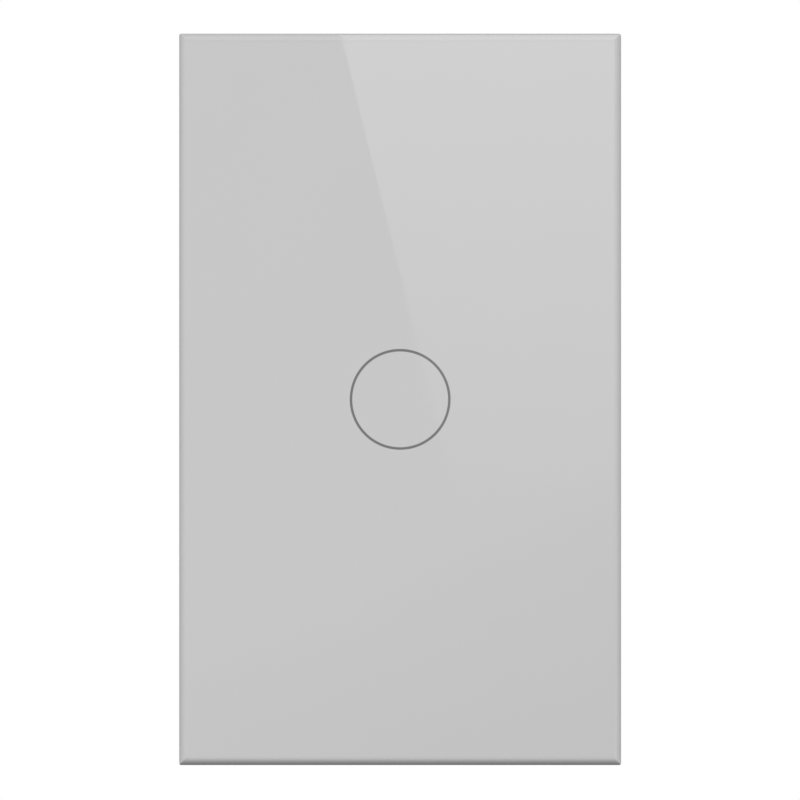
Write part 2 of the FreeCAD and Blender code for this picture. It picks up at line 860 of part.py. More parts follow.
def touch_spring():
    """Coil spring from the board to the touch zone on the back of the glass."""
    front = glass_back + spring_glass_gap + spring_wire / 2
    back = touch_board_front - spring_wire / 2
    round_trip = 2 * math.pi * spring_radius
    tails = 2 * spring_wire / round_trip  # the two straight ends, as a share of a turn
    rise = (front - back) / (spring_turns + tails)
    start = back + rise * tails / 2
    steps = round(spring_turns * 2)

    def place(turn):
        """Middle of the wire after so many turns."""
        angle = 2 * math.pi * turn
        return Vector(spring_radius * math.cos(angle), start + rise * turn, spring_radius * math.sin(angle))

    def way(turn):
        """Direction of the wire after so many turns."""
        angle = 2 * math.pi * turn
        return Vector(-round_trip * math.sin(angle), rise, round_trip * math.cos(angle)).normalize()

    turns = [i / 2 for i in range(steps + 1)]
    arcs = []
    for now, then in zip(turns, turns[1:]):
        arcs += biarc(place(now), way(now), place(then), way(then))
    start_tail = place(0) - way(0) * spring_wire
    end_tail = place(turns[-1]) + way(turns[-1]) * spring_wire
    edges = [Part.LineSegment(start_tail, place(0)).toShape()]
    edges += arcs
    edges.append(Part.LineSegment(place(turns[-1]), end_tail).toShape())
    across = Vector(1, 0, 0)
    up = across.cross(way(0)).normalize()
    corners = []
    for k in range(wire_sides + 1):
        angle = 2 * math.pi * k / wire_sides
        corners.append(start_tail + (across * math.cos(angle) + up * math.sin(angle)) * (spring_wire / 2))
    shell = Part.BRepOffsetAPI.MakePipeShell(Part.Wire(edges))
    shell.add(Part.makePolygon(corners))
    shell.build()
    shell.makeSolid()
    samples = [place(i / 24) for i in range(steps * 12 + 1)]
    least = min(
        (p - q).Length
        for i, p in enumerate(samples)
        for q in samples[i + 12:]
    )
    print("least gap between the spring's turns:", round(least - spring_wire, 2))
    return shell.shape()


def small_chip(x, z, length, surface, way):
    """Surface-mounted chip with gull-wing legs, standing off the board to the given side."""
    top = surface + way * touch_chip_height
    low = surface + way * chip_leg_thickness
    body = centred_block(x, z, length, touch_chip_width, min(low, top), max(low, top))
    foot_y = sorted((surface, low))
    rise_y = sorted((surface, surface + way * touch_chip_height / 2))
    near = touch_chip_width / 2
    count = int(length / chip_leg_pitch)
    legs = []
    for i in range(count):
        leg_x = x + (i - (count - 1) / 2) * chip_leg_pitch
        x_span = (leg_x - chip_leg_width / 2, leg_x + chip_leg_width / 2)
        for side in (-1, 1):
            rise_z = sorted((z + side * near, z + side * (near + chip_leg_knee)))
            foot_z = sorted((z + side * near, z + side * (near + chip_leg_knee + chip_leg_foot)))
            legs.append(block(*x_span, *rise_y, *rise_z).fuse(block(*x_span, *foot_y, *foot_z)))
    return body.fuse(legs).removeSplitter()


def touch_chip():
    """Touch and dimming chip on the front of the touch board."""
    z = guide_outer + guide_tab_reach + part_gap + touch_chip_width
    return small_chip(0, z, touch_chip_length, touch_board_front, -1)


def radio_z():
    """Height of the radio's middle on the back of the touch board."""
    return touch_board_height / 2 - radio_edge - radio_height / 2


def radio_board():
    """Small radio board on the back of the touch board."""
    back = touch_board_back + radio_board_thickness
    return centred_block(0, radio_z(), radio_width, radio_height, touch_board_back, back)


def radio_shield():
    """Pressed metal can over the radio's chips."""
    front = touch_board_back + radio_board_thickness
    height = radio_height - shield_strip - shield_margin
    z = radio_z() - radio_height / 2 + shield_margin + height / 2
    return centred_block(0, z, radio_width - 2 * shield_margin, height, front, front + shield_depth)


def header_housing():
    """Plastic strip that holds the header's pins."""
    length = pin_count * pin_pitch
    strip = centred_block(0, header_z(), length, header_height, touch_board_back, header_back)
    return strip.cut(pin_holes(touch_board_back, header_back, 0))


def header_pins():
    """Square pins from the touch board into the socket of the power board."""
    return pin_holes(touch_board_front, header_back + pin_reach, 0)


def board_socket():
    """Socket strip on the front of the power board."""
    front = power_board_front - socket_depth
    length = pin_count * pin_pitch
    strip = centred_block(0, header_z(), length, header_height, front, power_board_front)
    return strip.cut(pin_holes(front, power_board_front - socket_floor, pin_hole_gap))


def power_board():
    """Circuit board with the relay, the supply and the screw terminals."""
    return centred_block(0, 0, power_board_width, power_board_height, power_board_front, power_board_back)


def terminal_block():
    """Moulded block with a cavity, a wire entry and a screw bore for each pole."""
    width = pole_count * pole_pitch + 2 * block_end_wall
    body = block(-width / 2, width / 2, power_board_back, block_back, block_low, block_high)
    half = cage_outer_width / 2 + cage_cavity_gap
    removed = []
    for x in pole_places:
        removed.append(block(x - half, x + half, power_board_back, cavity_back, cavity_low, cavity_high))
        removed.append(centred_block(
            x, block_low, wire_hole, 2 * block_face_wall,
            wire_middle - wire_hole / 2, wire_middle + wire_hole / 2,
        ))
        removed.append(rod(
            x, terminal_z, terminal_screw_radius + terminal_thread_gap,
            cavity_back, head_front - terminal_thread_gap,
        ))
        removed.append(rod(
            x, terminal_z, terminal_head_radius + terminal_head_gap,
            head_front - terminal_thread_gap, block_back,
        ))
    return body.cut(removed)


def terminal_tabs():
    """Fixed brass tabs: each passes through its cage and stands on the power board."""
    tabs = []
    for x in pole_places:
        half = tab_width / 2
        flat = block(x - half, x + half, tab_front, tab_back, cavity_low, cavity_high)
        leg = block(x - half, x + half, power_board_back, tab_back, cavity_high - tab_thickness, cavity_high)
        tabs.append(flat.fuse(leg).removeSplitter())
    return tabs


def terminal_cage(x):
    """Brass cage round the wire and the tab, with the screw's thread in its far wall."""
    half = cage_outer_width / 2
    low = terminal_z - cage_length / 2
    high = terminal_z + cage_length / 2
    body = block(x - half, x + half, cage_front, nut_back, low, high)
    gap = block(x - half + cage_side, x + half - cage_side, wire_front, nut_front, low, high)
    thread = rod(x, terminal_z, terminal_screw_radius + terminal_thread_gap, nut_front, nut_back)
    return body.cut([gap, thread])


def terminal_screw(x):
    """Captive clamp screw. Its tip bears on the tab, so turning it lifts the cage."""
    return headed_screw(
        x, terminal_z, terminal_screw_radius, terminal_head_radius, terminal_head_height,
        tab_back + terminal_thread_gap, head_front,
    )


def relay_base():
    """Moulded base that closes the relay's cover and carries the fixed contact's post."""
    fit = relay_wall + relay_fit_gap
    plate = centred_block(
        relay_x, relay_z, relay_width - 2 * fit, relay_length - 2 * fit, power_board_back, relay_floor
    )
    post = centred_block(
        relay_x, contact_z, leaf_width, 2 * contact_radius, relay_floor,
        fixed_contact_back - contact_height - contact_strap,
    )
    return plate.fuse(post).removeSplitter()


def relay_cover():
    """Thin moulded case of the relay, open towards the board."""
    outer = centred_block(relay_x, relay_z, relay_width, relay_length, power_board_back, relay_back)
    inner = centred_block(
        relay_x, relay_z, relay_width - 2 * relay_wall, relay_length - 2 * relay_wall,
        power_board_back, relay_back - relay_wall,
    )
    return outer.cut(inner)


def relay_bobbin():
    """Plastic spool of the coil: two flanges on a tube."""
    size = coil_flange_size
    near = centred_block(relay_x, coil_z, size, size, bobbin_front, bobbin_front + coil_flange_thickness)
    far = centred_block(relay_x, coil_z, size, size, bobbin_back - coil_flange_thickness, bobbin_back)
    hub = rod(relay_x, coil_z, coil_core_radius + coil_tube_wall, bobbin_front, bobbin_back)
    bore = rod(relay_x, coil_z, coil_core_radius + pilot_clearance, bobbin_front, bobbin_back)
    return hub.fuse([near, far]).cut(bore)


def relay_winding():
    """Copper winding of the coil, as one round body between the flanges."""
    inner = coil_core_radius + coil_tube_wall + pilot_clearance
    return tube(
        relay_x, coil_z, inner, inner + winding_depth,
        bobbin_front + coil_flange_thickness, bobbin_back - coil_flange_thickness,
    )


def relay_core():
    """Iron core through the spool, with its wide pole face under the armature."""
    core = rod(relay_x, coil_z, coil_core_radius, bobbin_front, bobbin_back)
    return core.fuse(rod(relay_x, coil_z, pole_face_radius, bobbin_back, pole_back))


def relay_iron_frame():
    """L-shaped iron frame: one leg under the coil, one beside it up to the armature."""
    half = coil_flange_size / 2
    foot = block(relay_x - half, relay_x + half, relay_floor, bobbin_front, iron_low, coil_z + half)
    leg = block(
        relay_x - half, relay_x + half, relay_floor, armature_front - armature_bearing_gap,
        iron_low, iron_low + relay_iron,
    )
    return foot.fuse(leg).removeSplitter()


def relay_contact():
    """Fixed contact on its strap."""
    seat = fixed_contact_back - contact_height
    strap = centred_block(
        relay_x, contact_z, leaf_width, 2 * contact_radius, seat - contact_strap, seat
    )
    return strap.fuse(rod(relay_x, contact_z, contact_radius - contact_edge, seat, fixed_contact_back))


def relay_armature():
    """Iron plate that rocks on the frame's edge towards the pole face."""
    half = coil_flange_size / 2
    return block(relay_x - half, relay_x + half, armature_front, armature_back, iron_low, armature_high)


def relay_leaf():
    """Springy contact leaf on the armature, with the moving contact at its end."""
    half = leaf_width / 2
    strip = block(
        relay_x - half, relay_x + half, armature_back, leaf_back, iron_low + relay_iron, leaf_high
    )
    button = rod(relay_x, contact_z, contact_radius - contact_edge, moving_contact_front, armature_back)
    return strip.fuse(button)


def transformer_core():
    """Ferrite core of the supply's transformer: a closed frame with a middle leg."""
    front = power_board_back + bobbin_foot
    back = front + core_length
    core = centred_block(transformer_x, transformer_z, core_width, core_depth, front, back)
    windows = []
    for side in (-1, 1):
        x = transformer_x + side * (core_leg + core_window) / 2
        windows.append(centred_block(
            x, transformer_z, core_window, core_depth, front + core_leg, back - core_leg
        ))
    return core.cut(windows)


def transformer_winding():
    """Taped winding round the core's middle leg, on the foot of its spool."""
    front = power_board_back + bobbin_foot + core_leg
    back = power_board_back + bobbin_foot + core_length - core_leg
    width = core_leg + 2 * core_window
    body = centred_block(transformer_x, transformer_z, width, winding_size, front, back)
    foot = centred_block(
        transformer_x, transformer_z, core_width, winding_size,
        power_board_back, power_board_back + bobbin_foot,
    )
    necks = []
    for side in (-1, 1):
        z = transformer_z + side * (core_depth + winding_bulge) / 2
        necks.append(centred_block(
            transformer_x, z, width, winding_bulge, power_board_back + bobbin_foot, front
        ))
    leg = centred_block(transformer_x, transformer_z, core_leg, core_depth, front, back)
    return body.fuse([foot] + necks).cut(leg).removeSplitter()


def big_capacitor():
    """Mains-side electrolytic capacitor."""
    back = power_board_back + big_capacitor_height
    return rod(big_capacitor_x, big_capacitor_z, big_capacitor_radius, power_board_back, back)


def small_capacitor():
    """Low-voltage electrolytic capacitor."""
    back = power_board_back + small_capacitor_height
    return rod(small_capacitor_x, small_capacitor_z, small_capacitor_radius, power_board_back, back)


def safety_capacitor():
    """Boxed film capacitor across the mains."""
    back = power_board_back + safety_cap_height
    return centred_block(
        safety_cap_x, safety_cap_z, safety_cap_length, safety_cap_width, power_board_back, back
    )


def varistor():
    """Disc varistor standing on edge on its two leads, drawn as one foot."""
    centre_y = power_board_back + varistor_lift + varistor_radius
    centre = Vector(varistor_x, centre_y, varistor_z - varistor_thickness / 2)
    disc = Part.makeCylinder(varistor_radius, varistor_thickness, centre, Vector(0, 0, 1))
    foot = centred_block(
        varistor_x, varistor_z, varistor_radius, varistor_thickness / 2, power_board_back, centre_y
    )
    return disc.fuse(foot)


def fuse():
    """Boxed time-lag fuse."""
    back = power_board_back + fuse_height
    return centred_block(fuse_x, fuse_z, fuse_length, fuse_width, power_board_back, back)


def bridge_rectifier():
    """Bridge rectifier, a small moulded block."""
    back = power_board_back + bridge_height
    return centred_block(bridge_x, bridge_z, bridge_length, bridge_width, power_board_back, back)


def regulator_chip():
    """Chip that drives the supply."""
    return small_chip(regulator_x, regulator_z, regulator_length, power_board_back, 1)


def chip_resistors():
    """Small resistors in a column on each side of the light guide."""
    x = guide_outer + guide_tab_reach + part_gap + passive_length / 2
    pieces = []
    for side in (-1, 1):
        for row in range(passive_rows):
            z = (row - (passive_rows - 1) / 2) * passive_pitch
            pieces.append(centred_block(
                side * x, z, passive_length, passive_width,
                touch_board_front - passive_height, touch_board_front,
            ))
    return pieces


PIECES = {
    "glass_panel": glass_panel,
    "panel_tape": panel_tape,
    "panel_frame": panel_frame,
    "base_cover": base_cover,
    "panel_clips": panel_clips,
    "mounting_yoke": mounting_yoke,
    "earth_screw": earth_screw,
    "rear_housing": rear_housing,
    "housing_screws": housing_screws,
    "board_screws": board_screws,
    "touch_board": touch_board,
    "light_guide": light_guide,
    "status_leds": status_leds,
    "touch_spring": touch_spring,
    "touch_chip": touch_chip,
    "chip_resistors": chip_resistors,
    "radio_board": radio_board,
    "radio_shield": radio_shield,
    "header_housing": header_housing,
    "header_pins": header_pins,
    "board_socket": board_socket,
    "power_board": power_board,
    "terminal_block": terminal_block,
    "terminal_tabs": terminal_tabs,
    "relay_base": relay_base,
    "relay_cover": relay_cover,
    "relay_bobbin": relay_bobbin,
    "relay_winding": relay_winding,
    "relay_core": relay_core,
    "relay_iron_frame": relay_iron_frame,
    "relay_contact": relay_contact,
    "relay_armature": relay_armature,
    "relay_leaf": relay_leaf,
    "transformer_core": transformer_core,
    "transformer_winding": transformer_winding,
    "big_capacitor": big_capacitor,
    "small_capacitor": small_capacitor,
    "safety_capacitor": safety_capacitor,
    "varistor": varistor,
    "fuse": fuse,
    "bridge_rectifier": bridge_rectifier,
    "regulator_chip": regulator_chip,
}


def export(name, shape):
    """Writes one node's solids to its STEP file."""
    shapes = shape if isinstance(shape, list) else [shape]
    solids = [solid for one in shapes for solid in one.Solids]
    whole = solids[0] if len(solids) == 1 else Part.makeCompound(solids)
    whole.exportStep(f"parts/{name}.step")


os.makedirs("parts", exist_ok=True)
for name, make in PIECES.items():
    export(name, make())
for number, place in enumerate(pole_places, 1):
    export(f"terminal_cage_{number}", terminal_cage(place))
    export(f"terminal_screw_{number}", terminal_screw(place))
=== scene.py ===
import math

import bmesh
import bpy
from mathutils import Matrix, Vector


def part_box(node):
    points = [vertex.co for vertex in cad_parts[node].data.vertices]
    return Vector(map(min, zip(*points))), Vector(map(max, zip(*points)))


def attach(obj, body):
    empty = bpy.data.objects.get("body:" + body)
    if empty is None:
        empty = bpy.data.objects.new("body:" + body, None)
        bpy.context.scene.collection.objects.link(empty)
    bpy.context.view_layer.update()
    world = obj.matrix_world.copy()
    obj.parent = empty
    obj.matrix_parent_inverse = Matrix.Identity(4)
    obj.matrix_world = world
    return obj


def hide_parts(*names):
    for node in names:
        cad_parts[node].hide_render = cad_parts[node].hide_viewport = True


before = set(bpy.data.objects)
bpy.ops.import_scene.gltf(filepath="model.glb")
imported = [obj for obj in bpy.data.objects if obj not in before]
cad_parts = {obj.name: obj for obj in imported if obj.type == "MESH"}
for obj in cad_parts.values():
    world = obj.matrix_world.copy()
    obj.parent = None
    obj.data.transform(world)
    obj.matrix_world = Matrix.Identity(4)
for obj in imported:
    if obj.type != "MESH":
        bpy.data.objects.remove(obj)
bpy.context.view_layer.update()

scene = bpy.context.scene


# Camera: a long lens square on to the panel, as a catalogue picture of a wall switch is
# taken, so that the panel's edges stay parallel and its sides don't show.
camera = bpy.data.objects.new("camera", bpy.data.cameras.new("camera"))
camera.data.lens = 300.0
camera.data.clip_end = 20.0
camera.location = (-0.000025, -1.1035, -0.000107)
camera.rotation_euler = (math.pi / 2, 0.0, 0.0)
scene.collection.objects.link(camera)
scene.camera = camera
scene.view_settings.view_transform = "Standard"


# Room: white surroundings that show behind the object and in its polished surfaces, and
# a pale floor well below it, which takes its shadow.
def put(tree, kind, inputs=None, **settings):
    """A node in the tree, with its settings made and its inputs filled or joined."""
    node = tree.nodes.new(kind)
    for name, value in settings.items():
        setattr(node, name, value)
    for place, value in (inputs or {}).items():
        socket = node.inputs[place]
        if isinstance(value, bpy.types.NodeSocket):
            tree.links.new(value, socket)
        else:
            socket.default_value = value
    return node


def figure(tree, operation, *values, clamp=False):
    """What that operation makes of these values."""
    inputs = dict(enumerate(values))
    return put(tree, "ShaderNodeMath", inputs, operation=operation, use_clamp=clamp).outputs[0]


def product(tree, first, *others):
    """These values multiplied together."""
    for other in others:
        first = figure(tree, "MULTIPLY", first, other)
    return first


def ramp(tree, value, low, high, soft=True):
    """0 below low, 1 above high, and an even passage between them."""
    inputs = {"Value": value, "From Min": low, "From Max": high}
    way = "SMOOTHSTEP" if soft else "LINEAR"
    return put(tree, "ShaderNodeMapRange", inputs, interpolation_type=way).outputs["Result"]


def part(tree, vector, axis):
    """The vector's part along that axis."""
    return put(tree, "ShaderNodeSeparateXYZ", {"Vector": vector}).outputs[axis]


surroundings = bpy.data.worlds.new("white_surroundings")
surroundings.use_nodes = True
scene.world = surroundings
tree = surroundings.node_tree
rays = put(tree, "ShaderNodeLightPath").outputs
seen = figure(tree, "MAXIMUM", rays["Is Camera Ray"], rays["Is Glossy Ray"])
seen = figure(tree, "MAXIMUM", seen, rays["Is Transmission Ray"])
looking = put(tree, "ShaderNodeTexCoord").outputs["Generated"]
from_above = ramp(tree, part(tree, looking, "Z"), -0.25, 0.25)
soft_light = figure(tree, "MULTIPLY_ADD", from_above, 0.7, 0.22)
strength = figure(tree, "MAXIMUM", seen, soft_light)
room_light = tree.nodes["Background"]
room_light.inputs["Color"].default_value = (1.0, 1.0, 1.0, 1.0)
tree.links.new(strength, room_light.inputs["Strength"])


lamp_size = (3.4, 2.6)


def lamp_panel(name, power, place):
    """A flat studio lamp that faces the object."""
    lamp = bpy.data.objects.new(name, bpy.data.lights.new(name, "AREA"))
    lamp.data.shape = "RECTANGLE"
    lamp.data.size = lamp_size[0]
    lamp.data.size_y = lamp_size[1]
    lamp.data.energy = power
    lamp.location = place
    lamp.rotation_euler = (-Vector(place)).to_track_quat("-Z", "Y").to_euler()
    scene.collection.objects.link(lamp)


lamp_panel("front_lamp", 50.4, (-0.1, -1.6, 1.5))
lamp_panel("rear_lamp", 26.0, (0.7, 1.8, 1.3))


def new_finish(name, colour, roughness, **sockets):
    """A material whose plain values sit on the shader's own sockets."""
    material = bpy.data.materials.new(name)
    material.use_nodes = True
    material.diffuse_color = (*colour, 1.0)
    shader = material.node_tree.nodes["Principled BSDF"]
    shader.inputs["Base Color"].default_value = (*colour, 1.0)
    shader.inputs["Roughness"].default_value = roughness
    for socket, value in sockets.items():
        shader.inputs[socket.replace("_", " ").title().replace("Ior", "IOR")].default_value = value
    return material, material.node_tree, shader


def flat_card(name, corners, material):
    """A flat four-cornered sheet that belongs to the studio."""
    mesh = bpy.data.meshes.new(name)
    mesh.from_pydata(corners, [], [(0, 1, 2, 3)])
    mesh.materials.append(material)
    card = bpy.data.objects.new(name, mesh)
    scene.collection.objects.link(card)
    return card


floor_half = 1.5
floor_height = -0.2
floor_paint, tree, shader = new_finish("floor_paint", (0.86, 0.86, 0.86), 0.8)
beneath = put(tree, "ShaderNodeNewGeometry").outputs["Backfacing"]
unseen = put(tree, "ShaderNodeBsdfTransparent")
one_sided = put(tree, "ShaderNodeMixShader", {
    0: beneath, 1: shader.outputs["BSDF"], 2: unseen.outputs["BSDF"],
})
tree.links.new(one_sided.outputs["Shader"], tree.nodes["Material Output"].inputs["Surface"])
floor = flat_card("floor", [
    (sx * floor_half, sy * floor_half, floor_height)
    for sx, sy in ((-1, -1), (1, -1), (1, 1), (-1, 1))
], floor_paint)
floor.visible_diffuse = False
floor.visible_glossy = False


# Reflector: a tall card in front of the panel, with a roof, that only shows in glossy
# surfaces. Its light band and its dim corner are what the polished glass mirrors.
def own_place(tree):
    """Where on the object a point is."""
    return put(tree, "ShaderNodeTexCoord").outputs["Object"]


def mapped(tree, vector, **change):
    """The vector scaled, turned or moved."""
    return put(tree, "ShaderNodeMapping", {"Vector": vector, **change}).outputs["Vector"]


def card_light(name):
    """A material that only gives light, its tree, and where on the card a point is."""
    material = bpy.data.materials.new(name)
    material.use_nodes = True
    tree = material.node_tree
    tree.nodes.remove(tree.nodes["Principled BSDF"])
    return material, tree, own_place(tree)


def shine(tree, strength):
    """The card gives light of that strength."""
    glow = put(tree, "ShaderNodeEmission", {"Strength": strength}).outputs["Emission"]
    tree.links.new(glow, tree.nodes["Material Output"].inputs["Surface"])


def only_in_mirrors(card):
    """The card shows in glossy surfaces and nowhere else."""
    for kind in ("camera", "diffuse", "transmission", "volume_scatter", "shadow"):
        setattr(card, "visible_" + kind, False)


glass_half_height = 0.06
glass_front = -0.0105
card_distance = 0.4495
camera_distance = 1.093
card_stretch = 1 + card_distance / camera_distance
card_margin = 1.35
card_half = glass_half_height * card_stretch * card_margin
card_place = glass_front - card_distance
card_top = 0.45
mirror_card, tree, on_card = card_light("reflector_light")

# The pattern is laid out in millimetres on the panel that mirrors it.
panel_top = 60.0
band_lean = 0.2478
band_edge = (5.1, 5.18)
band_foot = -20.0
corner_way = (2.901, -6.095)
corner_reach = (170.0, 440.0)
on_panel = mapped(tree, on_card, Scale=(1000 / card_stretch,) * 3)
x = part(tree, on_panel, "X")
z = part(tree, on_panel, "Z")
level = figure(tree, "MINIMUM", z, panel_top)
band = ramp(tree, figure(tree, "MULTIPLY_ADD", level, band_lean, x), *band_edge)
band = product(tree, band, ramp(tree, z, band_foot, panel_top, soft=False))
corner = figure(tree, "MULTIPLY_ADD", z, corner_way[1], product(tree, x, corner_way[0]))
corner = figure(tree, "POWER", ramp(tree, corner, *corner_reach, soft=False), 0.75)
overhead = ramp(tree, z, panel_top, 1.5 * panel_top)
light = 1.0
for cause, change in ((level, -0.0024), (band, 1.38), (corner, -0.8), (overhead, 0.45)):
    light = figure(tree, "MULTIPLY_ADD", cause, change, light)
shine(tree, light)
only_in_mirrors(flat_card("reflector", [
    (-card_half, card_place, -card_half), (-card_half, card_place, card_top),
    (card_half, card_place, card_top), (card_half, card_place, -card_half),
], mirror_card))
only_in_mirrors(flat_card("reflector_roof", [
    (-card_half, card_place, card_top), (-card_half, 0.0, card_top),
    (card_half, 0.0, card_top), (card_half, card_place, card_top),
], mirror_card))


# Side reflectors: a card low in front on each side that only shows in glossy surfaces. Its
# rays of light are what the glass mirrors when it is seen from an angle.
def length(tree, vector):
    """How long the vector is."""
    return put(tree, "ShaderNodeVectorMath", {0: vector}, operation="LENGTH").outputs["Value"]


side_card_height = -0.19
side_card_inner = 0.13
side_card_outer = 1.45
side_card_rear = -0.12
ray_pitch = 0.2
ray_light = 1.8
rayed_card, tree, on_card = card_light("rayed_light")
aside = figure(tree, "ABSOLUTE", part(tree, on_card, "X"))
ahead = figure(tree, "ABSOLUTE", part(tree, on_card, "Y"))
bearing = figure(tree, "MULTIPLY_ADD", ahead, 0.18, figure(tree, "ARCTAN2", aside, ahead))
bearing = figure(tree, "PINGPONG", figure(tree, "SUBTRACT", bearing, 0.142), ray_pitch / 2)
ray = ramp(tree, bearing, 0.049, 0.051)
reach = length(tree, on_card)
for value, low, high in ((reach, 0.3, 0.75), (reach, 1.5, 1.0), (aside, side_card_inner, 0.2)):
    ray = product(tree, ray, ramp(tree, value, low, high))
shine(tree, figure(tree, "MULTIPLY_ADD", ray, ray_light, 1.0))
for side in (-1, 1):
    only_in_mirrors(flat_card("side_reflector_%d" % (side + 2), [
        (side * side_card_inner, side_card_rear, side_card_height),
        (side * side_card_outer, side_card_rear, side_card_height),
        (side * side_card_outer, -side_card_outer, side_card_height),
        (side * side_card_inner, -side_card_outer, side_card_height),
    ], rayed_card))


# Glass panel: 4 mm tempered glass with its edges ground round and polished, printed grey
# on the back. The thin ring at its middle is a gap in the print over the light guide,
# painted dark on the front as painted shade of the unlit inside seen through it.
side_start = 0.00015
corner_steps = 6


def rim_point_list(half_width, half_height, radius):
    """Points round an upright rectangle with rounded corners, in the order of its corners.
    A point close to each end of a side keeps the side's shading straight."""
    points = []
    for corner_number in range(4):
        first = math.pi / 2 * corner_number
        cx = (half_width - radius) * (1 if corner_number in (0, 3) else -1)
        cz = (half_height - radius) * (1 if corner_number in (0, 1) else -1)
        turns = [first + math.pi / 2 * k / corner_steps for k in range(corner_steps + 1)]
        arc = [(cx + radius * math.cos(turn), cz + radius * math.sin(turn)) for turn in turns]
        along = (side_start * math.cos(first), side_start * math.sin(first))
        points.append((arc[0][0] + along[1], arc[0][1] - along[0]))
        points += arc
        points.append((arc[-1][0] - along[0], arc[-1][1] - along[1]))
    return points


def made_piece(name, shape, degrees, *finishes):
    """The shape as an object, whose edges are sharp where its faces turn by more degrees."""
    mesh = bpy.data.meshes.new(name)
    shape.to_mesh(mesh)
    shape.free()
    mesh.set_sharp_from_angle(angle=math.radians(degrees))
    for finish in finishes:
        mesh.materials.append(finish)
    piece = bpy.data.objects.new(name, mesh)
    scene.collection.objects.link(piece)
    return piece


def smoothed(shape):
    """All faces that the shape has so far are shaded round."""
    for face in shape.faces:
        face.smooth = True


def ringed_plate(name, half_width, half_height, radius, profile, degrees, open_middle=False):
    """Mesh of loops set in from the rim by the profile's (inset, depth), closed or a frame."""
    shape = bmesh.new()
    loops = []
    for inset, depth in profile:
        corner_radius = max(radius - inset, 0.00002)
        outline = rim_point_list(half_width - inset, half_height - inset, corner_radius)
        loops.append([shape.verts.new((px, depth, pz)) for px, pz in outline])
    pairs = list(zip(loops, loops[1:]))
    if open_middle:
        pairs.append((loops[-1], loops[0]))
    for near, far in pairs:
        for k in range(len(near)):
            after = (k + 1) % len(near)
            shape.faces.new((near[k], near[after], far[after], far[k]))
    smoothed(shape)
    if not open_middle:
        shape.faces.new(loops[0])
        shape.faces.new(loops[-1])
    bmesh.ops.recalc_face_normals(shape, faces=shape.faces)
    return made_piece(name, shape, degrees)


glass_half_width = 0.03625
glass_rear = -0.0065
glass_corner = 0.0003
face_start = 0.0018
bevel_reach = 0.0012
bevel_fall = 0.0007
bevel_round = (bevel_reach ** 2 + bevel_fall ** 2) / (2 * bevel_fall)
bevel_turn = math.asin(bevel_reach / bevel_round)
bevel_steps = 12
glass_profile = [(face_start, glass_front), (bevel_reach + 0.00002, glass_front)]
for k in range(bevel_steps + 1):
    turn = bevel_turn * k / bevel_steps
    inset = bevel_reach - bevel_round * math.sin(turn)
    glass_profile.append((max(inset, 0.0), glass_front + bevel_round * (1 - math.cos(turn))))
glass_profile += [
    (0.0, glass_rear - glass_corner), (0.3 * glass_corner, glass_rear - 0.0001),
    (glass_corner, glass_rear), (2 * glass_corner, glass_rear),
]
glass = ringed_plate(
    "glass_sheet", glass_half_width, glass_half_height, glass_corner, glass_profile, 32,
)


def blended(tree, factor, first, second):
    """Colour that passes from the first to the second, either written or from a node."""
    inputs = {"Factor": factor}
    # A Mix node takes colours on its sockets 6 and 7.
    for place, colour in ((6, first), (7, second)):
        inputs[place] = (*colour, 1.0) if isinstance(colour, tuple) else colour
    return put(tree, "ShaderNodeMix", inputs, data_type="RGBA").outputs[2]


def noise(tree, vector, scale, detail, **more):
    """Cloudy values between 0 and 1."""
    inputs = {"Vector": vector, "Scale": scale, "Detail": detail, **more}
    return put(tree, "ShaderNodeTexNoise", inputs).outputs["Fac"]


def spread(tree, value, least, most, low=0.0, high=1.0):
    """least where the value is low, most where it is high, and in between in proportion."""
    inputs = {"Value": value, "From Min": low, "From Max": high, "To Min": least, "To Max": most}
    return put(tree, "ShaderNodeMapRange", inputs).outputs["Result"]


# Painted shade: the print's grey is darkened towards the rounded edge, more at the ends than
# at the sides, for the shading of the polished edge. The ring is painted dark on the front
# for the unlit inside seen through it. The ground side has painted light and dark bands
# along it, standing in for the highlights and shade in a glass edge.
material, tree, shader = new_finish("printed_glass", (0.55, 0.55, 0.55), 0.02, ior=1.52)
ring_radius = 0.00806
ring_line = (0.00015, 0.00027)
painted_edge_shade_width = 0.00125
end_share = 0.75
side_front = -0.0099
here = own_place(tree)
x = part(tree, here, "X")
depth = part(tree, here, "Y")
z = part(tree, here, "Z")
flat = put(tree, "ShaderNodeCombineXYZ", {"X": x, "Z": z}).outputs["Vector"]
off_line = figure(tree, "SUBTRACT", length(tree, flat), ring_radius)
off_line = ramp(tree, figure(tree, "ABSOLUTE", off_line), *ring_line)
at_front = ramp(tree, depth, glass_front + 0.0002, glass_front + 0.00002, soft=False)
ring = product(tree, figure(tree, "SUBTRACT", 1.0, off_line), at_front)
side_room = figure(tree, "SUBTRACT", glass_half_width, figure(tree, "ABSOLUTE", x))
end_room = figure(tree, "SUBTRACT", glass_half_height, figure(tree, "ABSOLUTE", z))
end_room = product(tree, end_room, end_share)
